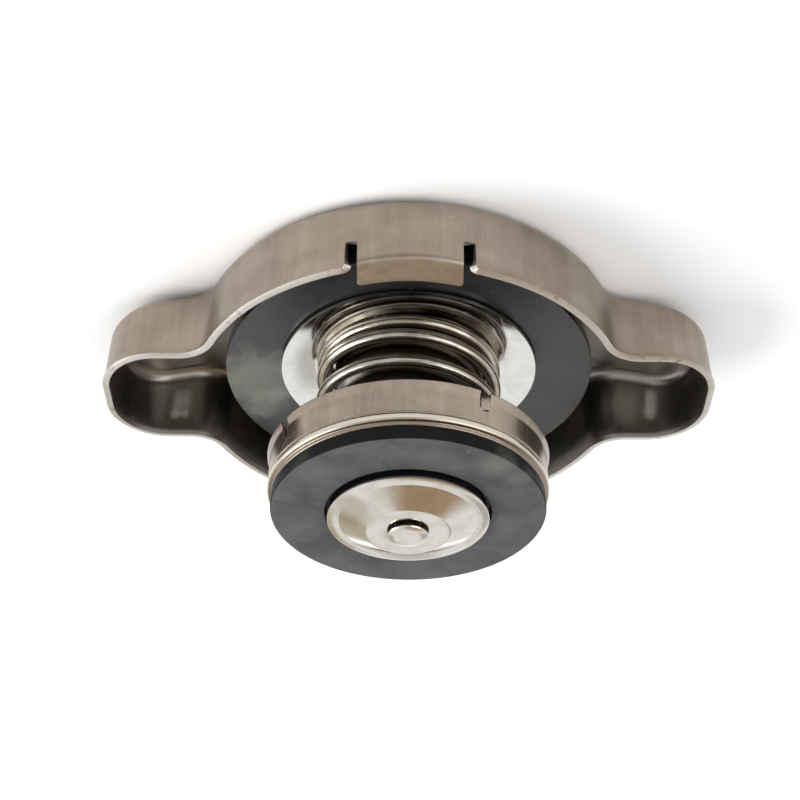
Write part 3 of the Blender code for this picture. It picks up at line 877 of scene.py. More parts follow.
@dataclass(frozen=True)
class Coil:
    """Centre line of a compression spring with closed ends."""

    radius: float
    low: float
    high: float
    turns: float
    closed_turns: float
    closed_pitch: float
    ground: float
    start: float = 0.0
    hand: int = 1
    points_per_turn: int = 56

    def points(self) -> list[Vector]:
        """Follow the line from its low end to its high end, with the ground turns past both.

        Returns:
            The line's points.
        """
        open_turns = self.turns - 2 * self.closed_turns
        open_pitch = (self.high - self.low - 2 * self.closed_turns * self.closed_pitch) / open_turns
        length = self.turns + 2 * self.ground
        count = round(length * self.points_per_turn)
        made = []
        for step in range(count + 1):
            done = length * step / count - self.ground
            rise = self.closed_pitch * min(done, self.closed_turns)
            rise += open_pitch * min(max(done - self.closed_turns, 0.0), open_turns)
            rise += self.closed_pitch * max(done - self.closed_turns - open_turns, 0.0)
            angle = math.radians(self.start) + self.hand * math.tau * done
            across, along = self.radius * math.cos(angle), self.radius * math.sin(angle)
            made.append(Vector((across, along, self.low + rise)))
        return made

    def grind(self, coil: bpy.types.Object, radius: float) -> None:
        """Flatten both ends of the wire, of a given radius, to the spring's height."""
        for vert in coil.data.vertices:
            vert.co.z = min(max(vert.co.z, self.low - radius), self.high + radius)

    def share_out(self, coil: bpy.types.Object) -> None:
        """Spread the travel evenly over the open turns, with every section of the wire kept round.
        """
        closed = self.closed_turns * self.closed_pitch
        start, run = self.low + closed, self.high - self.low - 2 * closed
        shares = [min(max((point.z - start) / run, 0.0), 1.0) for point in self.points()]
        sides = len(coil.data.vertices) // len(shares)
        values = [share for share in shares for _ in range(sides)]
        coil.data.attributes["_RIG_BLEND"].data.foreach_set("value", values)


def dress(
    item: bpy.types.Object,
    body: str,
    slot: str,
    nodes: Sequence[str],
    *materials: bpy.types.Material,
) -> None:
    """Give a piece its finish and body, log its slot, and let it stand for CAD nodes.

    Args:
        item: the piece.
        body: the CAD body that it rides on.
        slot: the record's material slot.
        nodes: the CAD nodes that it stands for.
        materials: its materials in slot order.
    """
    for material in materials:
        if material.name not in item.data.materials:
            item.data.materials.append(material)
    if "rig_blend" not in item:
        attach(item, body)
    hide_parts(*nodes)
    LOG.info("%s rides on %s as %s, %d faces", item.name, body, slot, len(item.data.polygons))


# Cap shell


class Kind(Enum):
    """Part of the shell that a column of its grid belongs to."""

    EAR = "ear"
    SKIRT = "skirt"
    TAB = "tab"


@dataclass(frozen=True)
class Station:
    """Where one column of the shell's grid meets the rim."""

    kind: Kind
    point: Vector
    normal: Vector
    angle: float


def on_circle(radius: float, angle: float) -> Vector:
    """Point of a circle about the axis, angle in degrees."""
    turn = math.radians(angle)
    return Vector((radius * math.cos(turn), radius * math.sin(turn)))


@dataclass
class CapShell:
    """The stamped shell and the rivet that holds the stack in it."""

    sheet: float = 0.7 * MM  # thinner than the solid's, because the rim's bevel takes its share
    skirt_radius: float = 22.6 * MM
    height: float = 9.0 * MM
    draft: float = 0.25 * MM
    rim_flare: float = 0.15 * MM
    flare_height: float = 0.6 * MM
    crown_corner: float = 2.0 * MM
    crown_flat: float = 0.6 * MM
    recess_radius: float = 11.9 * MM
    recess_depth: float = 1.85 * MM
    recess_slope: float = 1.5 * MM
    bore: float = 2.05 * MM
    ear_reach: float = 32.05 * MM
    ear_half_width: float = 7.6 * MM
    ear_corner: float = 6.0 * MM
    ear_blend: float = 3.8 * MM
    ear_tip_rise: float = 1.75 * MM
    tab_half_width: float = 5.15 * MM
    tab_slit: float = 1.2 * MM
    tab_slit_depth: float = 3.3 * MM
    tab_tilt: float = 22.0
    tab_bend: float = 0.9 * MM
    tab_length: float = 2.75 * MM
    tab_edge_sag: float = 0.6 * MM
    tab_corner: float = 0.5 * MM
    slit_corner: float = 0.20 * MM
    edge_round: float = 0.10 * MM
    edge_angle: float = 55.0
    slit_fall: float = 0.45 * MM
    dent: float = 0.05 * MM
    dent_size: float = 5.0 * MM
    slit_row: int = 6
    rivet_shank: float = 2.0 * MM
    rivet_head: float = 4.2 * MM
    rivet_head_top: float = 1.80 * MM
    rivet_clinch: float = 3.4 * MM
    rivet_clinch_z: float = 6.05 * MM
    rivet_rise: float = 0.90 * MM

    @property
    def slit_angle(self) -> float:
        """Angle at which the skirt ends beside a slit."""
        return self.angle_at(self.tab_half_width + self.tab_slit)

    def angle_at(self, across: float) -> float:
        """Angle of the skirt's circle at a distance from the tab's middle."""
        return math.degrees(math.acos(across / self.skirt_radius))

    def ear_stations(self) -> list[Station]:
        """Lay out half an ear: corner arc, straight side and blend arc.

        Returns:
            Its columns, from its tip to the skirt.
        """
        corner = Vector((self.ear_reach - self.ear_corner, self.ear_half_width - self.ear_corner))
        blend_y = self.ear_half_width + self.ear_blend
        blend = Vector((math.sqrt((self.skirt_radius + self.ear_blend) ** 2 - blend_y**2), blend_y))
        blend_angle = math.degrees(math.atan2(blend.y, blend.x))
        tip = [Vector((self.ear_reach, corner.y * step / 3)) for step in range(3)]
        rim = [(point, Vector((1.0, 0.0))) for point in tip]
        for point in map(Vector, arc(tuple(corner), self.ear_corner, 0.0, 90.0, 16)):
            rim.append((point, (point - corner).normalized()))
        rim.append((Vector(((corner.x + blend.x) / 2, self.ear_half_width)), Vector((0.0, 1.0))))
        for point in map(Vector, arc(tuple(blend), self.ear_blend, 270.0, 180.0 + blend_angle, 12)):
            rim.append((point, (blend - point).normalized()))
        foot = self.draft + self.crown_corner
        made = []
        for point, normal in rim:
            angle = math.degrees(math.atan2(*(point - normal * foot).yx))
            made.append(Station(Kind.EAR, point, normal, angle))
        return made

    def stations(self) -> list[Station]:
        """Lay out a quarter of the shell.

        Returns:
            Its columns, from the ear's tip to the tab's middle.
        """
        ear = self.ear_stations()
        slit = self.slit_angle
        start, rounding = ear[-1].angle, math.degrees(self.slit_corner / self.skirt_radius)
        run = slit - rounding - start
        made = [start + run * step / 22 for step in range(1, 23)]
        made += [slit - rounding * (1.0 - math.sin(math.pi / 2 * step / 5)) for step in range(1, 6)]
        inner = self.tab_half_width - self.tab_corner
        across = [inner + self.tab_corner * math.cos(math.pi / 2 * step / 5) for step in range(6)]
        across += [inner * (1.0 - step / 7) for step in range(1, 8)]
        skirt = [self.round_station(Kind.SKIRT, angle) for angle in made]
        return ear + skirt + [self.round_station(Kind.TAB, self.angle_at(x)) for x in across]

    def round_station(self, kind: Kind, angle: float) -> Station:
        """A column on the round skirt."""
        return Station(kind, on_circle(self.skirt_radius, angle), on_circle(1.0, angle), angle)

    def rim_height(self, station: Station) -> float:
        """Height of the rim, which rounds down beside a slit.

        Args:
            station: the column.

        Returns:
            The height.
        """
        if station.kind is not Kind.SKIRT:
            return self.height
        gap = math.radians(self.slit_angle - station.angle) * self.skirt_radius
        inset = max(self.slit_corner - gap, 0.0)
        return self.height - self.slit_corner + math.sqrt(max(self.slit_corner**2 - inset**2, 0.0))

    def column(self, station: Station) -> list[tuple[Vector, float]]:
        """Run a column down the wall, round the corner and over the crown to the rivet hole.

        Args:
            station: the column.

        Returns:
            Plan point and height of each row.
        """
        reach = (station.point.length - self.skirt_radius) / (self.ear_reach - self.skirt_radius)
        rise = self.ear_tip_rise * reach
        corner_z = rise + self.crown_corner
        slit_end = self.height - self.tab_slit_depth
        flare_end = self.height - self.flare_height
        heights = [self.height - self.flare_height * step / 3 for step in range(3)]
        heights += [flare_end + (slit_end - flare_end) * step / 3 for step in range(4)]
        heights += [slit_end + (corner_z - slit_end) * step / 4 for step in (1, 2, 3)]
        shrink = (self.rim_height(station) - slit_end) / self.tab_slit_depth
        rows = []
        for height in heights:
            inset = self.draft * (self.height - height) / (self.height - corner_z)
            share = max((height - flare_end) / self.flare_height, 0.0)
            flare = self.rim_flare * share * share * (3.0 - 2.0 * share)
            lowered = slit_end + (height - slit_end) * shrink if height > slit_end else height
            rows.append((station.point - station.normal * (inset - flare), lowered))
        bend = arc((-self.draft - self.crown_corner, corner_z), self.crown_corner, 0.0, -90.0, 9)
        rows += [(station.point + station.normal * out, z) for out, z in bend]
        outer = rows[-1][0]
        flat_radius = self.skirt_radius - self.draft - self.crown_corner - self.crown_flat
        inner = on_circle(flat_radius, station.angle)
        for step in range(1, 7):
            share = step / 6
            eased = 0.5 * share + 0.5 * share * share * (3.0 - 2.0 * share)
            rows.append((outer.lerp(inner, share), rise * (1.0 - eased)))
        return rows + [(on_circle(radius, station.angle), z) for radius, z in self.recess()]

    def recess(self) -> list[Point2]:
        """Sink the crown's centre.

        Returns:
            Its profile, from the crown's flat ring to the rivet hole.
        """
        ease = 0.5 * MM
        corners = [
            (self.recess_radius + 2 * ease, 0.0),
            (self.recess_radius, 0.0, ease),
            (self.recess_radius - self.recess_slope, self.recess_depth, ease),
            (self.bore, self.recess_depth),
        ]
        return rounded(corners, 3)

    def tab_line(self, wall: Vector) -> list[Point2]:
        """Bend a tab over one column: wall, bend, and a lip that lies in one plane.

        Args:
            wall: the column's plan point at the slits' end.

        Returns:
            The line as (y, z), from the slits' end.
        """
        slope = math.tan(math.radians(self.tab_tilt))
        edge = self.skirt_radius - self.tab_length
        side = max(wall.x - (self.tab_half_width - self.tab_corner), 0.0)
        corner = self.tab_corner - math.sqrt(max(self.tab_corner**2 - side**2, 0.0))
        end = edge - self.tab_edge_sag * (wall.x / self.tab_half_width) ** 2 + corner
        corners = [
            (wall.y, self.height - self.tab_slit_depth),
            (wall.y, self.height + (edge - wall.y) * slope, self.tab_bend),
            (end, self.height + (edge - end) * slope),
        ]
        return rounded(corners, 7)

    def bend_tab(self, rows: list[tuple[Vector, float]]) -> list[tuple[Vector, float]]:
        """Turn a column's wall above the slits' end into a tab.

        Args:
            rows: the column's rows, whose first ones are changed.

        Returns:
            The rows of the lip.
        """
        wall, foot = rows[self.slit_row]
        line = self.tab_line(wall)
        for row in range(self.slit_row):
            share = row / self.slit_row
            rows[row] = (Vector((wall.x, wall.y)), line[1][1] + (foot - line[1][1]) * share)
        bend, end = Vector(line[-2]), Vector(line[-1])
        flat = [tuple(bend.lerp(end, step / 5)) for step in range(1, 6)]
        return [(Vector((wall.x, y)), z) for y, z in line[2:-1] + flat]

    def full_ring(self) -> list[tuple[Kind, list[Vector], list[Vector]]]:
        """Mirror the quarter round the shell.

        Returns:
            Every column in order: its kind, its rows and its lip's rows.
        """
        quarter = []
        for station in self.stations():
            rows = self.column(station)
            lip = self.bend_tab(rows) if station.kind is Kind.TAB else []
            runs = ([Vector((*point, z)) for point, z in run] for run in (rows, lip))
            quarter.append((station.kind, *runs))
        ring: list[tuple[Kind, list[Vector], list[Vector]]] = []
        for index, flip in enumerate(((1, 1, 1), (-1, 1, 1), (-1, -1, 1), (1, -1, 1))):
            run = quarter if index % 2 == 0 else quarter[::-1]
            for kind, *runs in run[:-1]:
                ring.append((kind, *([v * Vector(flip) for v in rows] for rows in runs)))
        return ring

    def build(self) -> bpy.types.Object:
        """Skin the columns with faint dents, give the skin its sheet inward and break its edges.

        Returns:
            The shell, with its modifiers.
        """
        shape = bmesh.new()
        ring = self.full_ring()
        columns = [
            (kind, *([shape.verts.new(v) for v in rows] for rows in runs)) for kind, *runs in ring
        ]
        for index, (kind, body, lip) in enumerate(columns):
            next_kind, next_body, next_lip = columns[(index + 1) % len(columns)]
            cut = {kind, next_kind} == {Kind.SKIRT, Kind.TAB}
            for row in range(self.slit_row if cut else 0, len(body) - 1):
                shape.faces.new((body[row], body[row + 1], next_body[row + 1], next_body[row]))
            if lip and next_lip:
                left, right = [body[0], *lip], [next_body[0], *next_lip]
                for row in range(len(left) - 1):
                    shape.faces.new((left[row + 1], left[row], right[row], right[row + 1]))
        shape.normal_update()
        for vert in shape.verts:
            vert.co += vert.normal * self.dent * noise.noise(vert.co / self.dent_size)
        item = piece("shell", shape)
        solid = item.modifiers.new("sheet", "SOLIDIFY")
        solid.thickness = self.sheet
        solid.offset = -1.0
        solid.use_even_offset = True
        solid.use_quality_normals = True
        solid.material_offset_rim = 1
        solid.material_offset = 2
        bevel = item.modifiers.new("edges", "BEVEL")
        bevel.width = self.edge_round
        bevel.segments = 3
        bevel.limit_method = "ANGLE"
        bevel.angle_limit = math.radians(self.edge_angle)
        bevel.material = 1
        return item

    def slope_slits(self, shell: bpy.types.Object) -> None:
        """Let the end of each slit fall inward, as the punch tore it.

        Args:
            shell: the baked shell.
        """
        end, inside = self.height - self.tab_slit_depth, self.skirt_radius - self.sheet / 2
        slack, reach = 0.05 * MM, 0.2 * MM
        for vert in shell.data.vertices:
            in_slit = -slack < abs(vert.co.x) - self.tab_half_width < self.tab_slit + slack
            if in_slit and abs(vert.co.z - end) < reach and vert.co.xy.length < inside:
                vert.co.z -= self.slit_fall

    def rivet(self) -> bpy.types.Object:
        """Turn the centre rivet: head in the crown's recess, clinched end inside the bell.

        Returns:
            The rivet.
        """
        clinch, head = self.rivet_clinch_z, self.rivet_head_top
        profile = rounded(
            [
                (0.0, clinch + self.rivet_rise),
                (self.rivet_clinch - 1.1 * MM, clinch + self.rivet_rise - 0.05 * MM, 0.5 * MM),
                (self.rivet_clinch, clinch + 0.4 * MM, 0.3 * MM),
                (self.rivet_clinch, clinch),
                (self.rivet_shank, clinch),
                (self.rivet_shank, head),
                (self.rivet_head, head, 0.1 * MM),
                (self.rivet_head, head - 0.3 * MM, 0.2 * MM),
                (self.rivet_head - 1.7 * MM, head - self.rivet_rise + 0.05 * MM, 1.2 * MM),
                (0.0, head - self.rivet_rise),
            ]
        )
        return lathe("rivet", profile, segments=64)

    def dress(self, finishes: Finishes) -> None:
        """Build both pieces and give them their finishes.

        Args:
            finishes: the materials.
        """
        shell = self.build()
        skins = (finishes.shell, finishes.edge, finishes.inside)
        for material in skins:
            shell.data.materials.append(material)
        bake(shell)
        self.slope_slits(shell)
        dress(shell, "cap", "shell_steel", ["cap_shell"], *skins)
        dress(self.rivet(), "cap", "shell_steel", ["centre_rivet"], finishes.shell)


@dataclass
class Stack:
    """What is riveted inside the crown: diaphragm, gasket, seat, bell, washer and main spring."""

    bore: float = 2.25 * MM
    cone_start: float = 10.0 * MM
    cone_bend: float = 3.0 * MM
    gasket_slope: float = 0.17
    seat_slope: float = 0.22
    diaphragm_radius: float = 18.7 * MM
    diaphragm_z: float = 2.70 * MM
    diaphragm_sheet: float = 0.35 * MM
    gasket_radius: float = 19.5 * MM
    gasket_z: float = 3.10 * MM
    gasket_thick: float = 1.3 * MM
    seat_radius: float = 13.6 * MM
    seat_z: float = 4.45 * MM
    seat_sheet: float = 0.45 * MM
    bell_radius: float = 7.9 * MM
    bell_z: float = 4.95 * MM
    bell_length: float = 10.5 * MM
    bell_sheet: float = 0.5 * MM
    bell_bend: float = 0.9 * MM
    bell_lip: float = 1.2 * MM
    washer_radius: float = 4.6 * MM
    washer_z: float = 5.5 * MM
    washer_sheet: float = 0.5 * MM
    edge: float = 0.08 * MM
    spring_wire: float = 1.3 * MM
    spring: Coil = Coil(
        radius=9.15 * MM,
        low=5.60 * MM,
        high=20.55 * MM,
        turns=5.5,
        closed_turns=0.9,
        closed_pitch=1.5 * MM,
        ground=0.2,
        start=-70.0,
        hand=-1,
    )

    def cone(
        self, radius: float, low: float, thickness: float, slope: float, edge: float
    ) -> list[Point2]:
        """Draw a washer that is flat inside and rises to its rim.

        Args:
            radius: its rim.
            low: height of its flat underside.
            thickness: its sheet.
            slope: rise over run of its cone.
            edge: reach of its broken edges.

        Returns:
            Its closed profile.
        """
        rise = (radius - self.cone_start) * slope
        foot = (self.cone_start, low, self.cone_bend)
        line = rounded([(self.bore, low), foot, (radius, low + rise)])
        return softened(line + [(r, z + thickness) for r, z in line[::-1]], edge)

    def dress(self, finishes: Finishes) -> None:
        """Build every piece of the stack and give it its finish.

        Args:
            finishes: the materials.
        """
        slope, thin = self.gasket_slope, self.diaphragm_sheet
        diaphragm = self.cone(self.diaphragm_radius, self.diaphragm_z, thin, slope, 0.05 * MM)
        gasket = self.cone(self.gasket_radius, self.gasket_z, self.gasket_thick, slope, 0.2 * MM)
        seat = self.cone(self.seat_radius, self.seat_z, self.seat_sheet, self.seat_slope, self.edge)
        end = self.bell_z + self.bell_length
        corners = [
            (self.bore, self.bell_z),
            (self.bell_radius, self.bell_z, self.bell_bend),
            (self.bell_radius, end, self.bell_bend),
            (self.bell_radius - self.bell_sheet - self.bell_lip, end),
        ]
        bell = softened(sheet(corners, self.bell_sheet), self.edge)
        ring = flat_ring(self.bore, self.washer_radius, self.washer_z, self.washer_sheet)
        washer = softened(ring, self.edge)
        for name, profile, segments, slot, node, material in (
            ("diaphragm", diaphragm, 160, "spring_steel", "diaphragm_spring", finishes.plate),
            ("gasket", gasket, 160, "gasket_rubber", "cover_gasket", finishes.gasket),
            ("seat_washer", seat, 160, "bright_plating", "spring_seat", finishes.plate),
            ("guide_bell", bell, 120, "bright_plating", "bell", finishes.bell),
            ("washer", washer, 64, "shell_steel", "rivet_washer", finishes.shell),
        ):
            dress(lathe(name, profile, segments), "stack", slot, [node], material)
        coil = wire("valve_spring", self.spring.points(), self.spring_wire / 2)
        self.spring.grind(coil, self.spring_wire / 2)
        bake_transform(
            coil,
            "stack",
            "pressure_valve",
            start=(0, 0, self.spring.low),
            end=(0, 0, self.spring.high),
        )
        self.spring.share_out(coil)
        dress(coil, "stack", "spring_steel", ["main_spring"], finishes.wire)


@dataclass
class PressureValve:
    """The drum, its sleeve and plate, the main seal and the light spring on the stem."""

    mouth_z: float = 16.8 * MM
    mouth_radius: float = 14.6 * MM
    radius: float = 14.3 * MM
    foot_radius: float = 13.8 * MM
    foot_z: float = 21.75 * MM
    sheet: float = 0.5 * MM
    hole: float = 4.9 * MM
    notch_width: float = 1.2 * MM
    notch_depth: float = 2.2 * MM
    notch_margin: float = 0.4 * MM
    notch_first: float = -121.0
    notch_span: tuple[float, float] = (13.0 * MM, 16.0 * MM)
    lance_width: float = 0.95 * MM
    lance_gap: float = 0.35 * MM
    lance_push: float = 24.0
    seal_radius: float = 14.0 * MM
    seal_z: float = 21.8 * MM
    face_z: float = 23.3 * MM
    bead_height: float = 0.5 * MM
    seal_bore: float = 6.4 * MM
    seal_step: float = 7.45 * MM
    seal_step_z: float = 22.25 * MM
    bead_radius: float = 7.9 * MM
    seal_hole: float = 8.45 * MM
    seal_groove: float = 0.7 * MM
    sleeve_bore: float = 5.4 * MM
    sleeve_flare: float = 6.95 * MM
    sleeve_flange: float = 7.9 * MM
    sleeve_low: float = 14.4 * MM
    sleeve_high: float = 21.2 * MM
    sleeve_bend: float = 0.7 * MM
    edge: float = 0.08 * MM
    light_wire: float = 0.4 * MM
    light_spring: Coil = Coil(
        radius=2.7 * MM,
        low=17.45 * MM,
        high=21.55 * MM,
        turns=5.0,
        closed_turns=0.8,
        closed_pitch=0.45 * MM,
        ground=0.0,
        points_per_turn=32,
    )

    @property
    def split(self) -> float:
        """Height under the notches at which the drum's two rings meet."""
        return self.mouth_z + self.notch_depth + self.notch_margin

    def turn(self, index: int) -> Matrix:
        """Turn to a notch by its number."""
        return Matrix.Rotation(math.radians(self.notch_first + 90.0 * index), 4, "Z")

    def drum(self) -> bpy.types.Object:
        """Join the drum's notched mouth, its foot and the strips that hang in the notches.

        Returns:
            The drum.
        """
        mouth = lathe("valve_cup", self.mouth_profile(), segments=320)
        cutters = [self.notch(index) for index in range(4)]
        for cutter in cutters:
            boolean = mouth.modifiers.new(cutter.name, "BOOLEAN")
            boolean.operation = "DIFFERENCE"
            boolean.solver = "EXACT"
            boolean.object = cutter
        bake(mouth)
        foot = lathe("valve_cup_foot", self.foot_profile(), segments=320)
        shape = bmesh.new()
        shape.from_mesh(mouth.data)
        shape.from_mesh(foot.data)
        for index in range(4):
            self.lance(shape, index)
        shape.to_mesh(mouth.data)
        shape.free()
        smooth(mouth)
        for spent in (*cutters, foot):
            bpy.data.objects.remove(spent)
        return mouth

    def mouth_profile(self) -> list[Point2]:
        """Draw the drum's wall from under its notches to its flared mouth.

        Returns:
            Its closed profile.
        """
        flare_z = self.mouth_z + 1.0 * MM
        inner, lip = self.radius - self.sheet, 0.12 * MM
        return rounded(
            [
                (self.radius, self.split),
                (self.radius, flare_z, 1.4 * MM),
                (self.mouth_radius, self.mouth_z, lip),
                (self.mouth_radius - self.sheet, self.mouth_z, lip),
                (inner, flare_z, 1.0 * MM),
                (inner, self.split),
            ]
        )

    def foot_profile(self) -> list[Point2]:
        """Draw the drum's foot: wall, fine groove, bead, narrow neck and floor.

        Returns:
            Its closed profile.
        """
        groove, bead = self.foot_z - 1.25 * MM, self.radius + 0.08 * MM
        neck = self.foot_radius + 0.13 * MM
        inner = neck - self.sheet
        return rounded(
            [
                (self.hole, self.foot_z),
                (neck, self.foot_z, 0.2 * MM),
                (neck, groove + 0.88 * MM, 0.15 * MM),
                (bead, groove + 0.74 * MM, 0.30 * MM),
                (bead, groove + 0.16 * MM, 0.20 * MM),
                (self.radius - 0.11 * MM, groove, 0.14 * MM),
                (self.radius, groove - 0.22 * MM, 0.2 * MM),
                (self.radius, self.split),
                (self.radius - self.sheet, self.split),
                (self.radius - self.sheet, groove - 0.3 * MM, 0.4 * MM),
                (inner, groove + 0.2 * MM, 0.4 * MM),
                (inner, self.foot_z - self.sheet, 0.2 * MM),
                (self.hole, self.foot_z - self.sheet),
            ]
        )

    def lance(self, shape: bmesh.types.BMesh, index: int) -> None:
        """Hang a strip of the wall in a notch, pushed inward to leave a narrow hooked slot.

        Args:
            shape: the drum's mesh, which is added to.
            index: number of the notch.
        """
        push, turned = math.radians(self.lance_push), self.turn(index)
        along = Vector((-math.sin(push), math.cos(push)))
        inward = Vector((-math.cos(push), -math.sin(push)))
        hinge = Vector((self.radius, -self.notch_width / 2 - 0.05 * MM))
        plan = [hinge, hinge + along * self.lance_width]
        plan += [point + inward * self.sheet for point in reversed(plan)]
        ends = (self.mouth_z + 0.05 * MM, self.mouth_z + self.notch_depth - self.lance_gap)
        low, high = (
            [shape.verts.new(turned @ Vector((*point, z))) for point in plan] for z in ends
        )
        made = [shape.faces.new(low), shape.faces.new(high[::-1]), *walls(shape, low, high)]
        bmesh.ops.recalc_face_normals(shape, faces=made)
        bmesh.ops.bevel(
            shape,
            geom=list({edge for face in made for edge in face.edges}),
            offset=0.06 * MM,
            segments=2,
            profile=0.5,
            affect="EDGES",
        )

    def notch(self, index: int) -> bpy.types.Object:
        """Make the round-ended block that cuts one notch through the drum's wall from its mouth.

        Args:
            index: number of the notch.

        Returns:
            The block.
        """
        half, turned = self.notch_width / 2, self.turn(index)
        outline = [(-half, -self.notch_depth)]
        outline += arc((0.0, self.notch_depth - half), half, 180.0, 0.0, 8)
        outline += [(half, -self.notch_depth)]
        shape = bmesh.new()
        near, far = (
            [shape.verts.new(turned @ Vector((out, y, self.mouth_z + z))) for y, z in outline]
            for out in self.notch_span
        )
        shape.faces.new(near)
        shape.faces.new(far[::-1])
        walls(shape, near, far)
        bmesh.ops.recalc_face_normals(shape, faces=shape.faces)
        return piece(f"notch_{index}", shape)

    def seal(self) -> bpy.types.Object:
        """Turn the main seal: flat face, groove and the bead that the vacuum valve shuts on.

        Returns:
            The seal.
        """
        bead, groove = self.face_z + self.bead_height, self.face_z - self.seal_groove
        start = (9.0 * MM, self.seal_z)
        profile = rounded(
            [
                start,
                (self.seal_step, self.seal_z, 0.05 * MM),
                (self.seal_step, self.seal_step_z, 0.05 * MM),
                (self.seal_bore, self.seal_step_z, 0.1 * MM),
                (self.seal_bore, bead, 0.3 * MM),
                (self.bead_radius, bead, 0.3 * MM),
                (self.bead_radius + 0.05 * MM, groove, 0.1 * MM),
                (self.seal_hole - 0.1 * MM, groove, 0.1 * MM),
                (self.seal_hole, self.face_z, 0.1 * MM),
                (self.seal_radius, self.face_z, 0.18 * MM),
                (self.seal_radius, self.seal_z, 0.2 * MM),
                start,
            ],
            5,
        )
        return lathe("face_seal", profile[:-1], segments=240)

    def dress(self, finishes: Finishes) -> None:
        """Build every piece of the valve and give it its finish.

        Args:
            finishes: the materials.
        """
        dress(self.drum(), "pressure_valve", "drum_steel", ["valve_drum"], finishes.drum)
        corners = [
            (self.sleeve_flare, self.sleeve_low),
            (self.sleeve_bore, self.sleeve_low, self.sleeve_bend),
            (self.sleeve_bore, self.sleeve_high, self.sleeve_bend),
            (self.sleeve_flange, self.sleeve_high),
        ]
        profile = softened(sheet(corners, -self.sheet), self.edge)
        sleeve = lathe("guide_sleeve", profile, segments=96)
        dress(sleeve, "pressure_valve", "drum_steel", ["valve_sleeve"], finishes.drum)
        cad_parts["valve_plate"].data.materials.clear()
        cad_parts["valve_plate"].data.materials.append(finishes.drum)
        dress(self.seal(), "pressure_valve", "seal_rubber", ["main_seal"], finishes.seal)
        coil = wire("light_spring", self.light_spring.points(), self.light_wire / 2, sides=12)
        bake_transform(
            coil,
            "vacuum_valve",
            "pressure_valve",
            start=(0, 0, self.light_spring.low),
            end=(0, 0, self.light_spring.high),
        )
        self.light_spring.share_out(coil)
        dress(coil, "pressure_valve", "spring_steel", ["vacuum_spring"], finishes.wire)


@dataclass
class VacuumValve:
    """The stepped dish, its stem and the keeper on the stem's inner end."""

    dish_z: float = 23.85 * MM
    dish_radius: float = 8.2 * MM
    brim_inner: float = 6.95 * MM
    crown_radius: float = 4.2 * MM
    crown_height: float = 1.3 * MM
    sheet: float = 0.35 * MM
    stem_radius: float = 0.9 * MM
    head_radius: float = 2.05 * MM
    head_height: float = 0.35 * MM
    head_gap: float = 0.30 * MM
    brim_droop: float = 0.10 * MM
    brim_width: float = 0.65 * MM
    stem_clearance: float = 0.05 * MM
    clinch_radius: float = 1.3 * MM
    clinch_height: float = 0.5 * MM
    keeper_radius: float = 3.4 * MM
    keeper_z: float = 16.75 * MM
    keeper_sheet: float = 0.4 * MM

    def dress(self, finishes: Finishes) -> None:
        """Build every piece of the valve and give it its finish.

        Args:
            finishes: the materials.
        """
        crown_z = self.dish_z + self.crown_height
        hole = self.stem_radius + self.stem_clearance
        corners = [
            (self.dish_radius, self.dish_z - self.brim_droop),
            (self.dish_radius - self.brim_width, self.dish_z, 0.6 * MM),
            (self.brim_inner, self.dish_z, 0.2 * MM),
            (self.crown_radius, crown_z, 0.3 * MM),
            (hole, crown_z),
        ]
        profile = softened(sheet(corners, -self.sheet), 0.10 * MM)
        dish = lathe("vacuum_cap", profile, segments=200)
        dress(dish, "vacuum_valve", "dish_steel", ["vacuum_dish"], finishes.dish)
        head = crown_z + self.sheet + self.head_gap
        top = head + self.head_height
        clinch = self.keeper_z - self.stem_clearance
        profile = rounded(
            [
                (0.0, top),
                (self.head_radius * 0.7, top - 0.03 * MM, 1.2 * MM),
                (self.head_radius, head + 0.15 * MM, 0.15 * MM),
                (self.head_radius, head),
                (self.stem_radius, head),
                (self.stem_radius, clinch),
                (self.clinch_radius, clinch, 0.1 * MM),
                (self.clinch_radius, clinch - self.clinch_height, 0.2 * MM),
                (0.0, clinch - self.clinch_height),
            ]
        )
        stem = lathe("stem", profile, segments=72)
        # Painted shade: below the head, the stem takes the near-black bell finish for the shade in the gap.
        for face in stem.data.polygons:
            face.material_index = int(face.center.z < head + 0.01 * MM)
        dress(stem, "vacuum_valve", "dish_steel", ["vacuum_stem"], finishes.dish, finishes.bell)
        ring = flat_ring(hole, self.keeper_radius, self.keeper_z, self.keeper_sheet)
        keeper = lathe("keeper", softened(ring, 0.08 * MM), segments=64)
        dress(keeper, "vacuum_valve", "dish_steel", ["stem_keeper"], finishes.dish)


@dataclass(frozen=True)
class Flag:
    """A soft-edged dim area of the sky that only reflections show."""

    toward: tuple[float, float, float]
    edge: float
    core: float
    tint: Colour


@dataclass(frozen=True)
class Lamp:
    """A soft square lamp: its place in metres, its side and its watts."""

    name: str
    place: tuple[float, float, float]
    side: float
    power: float


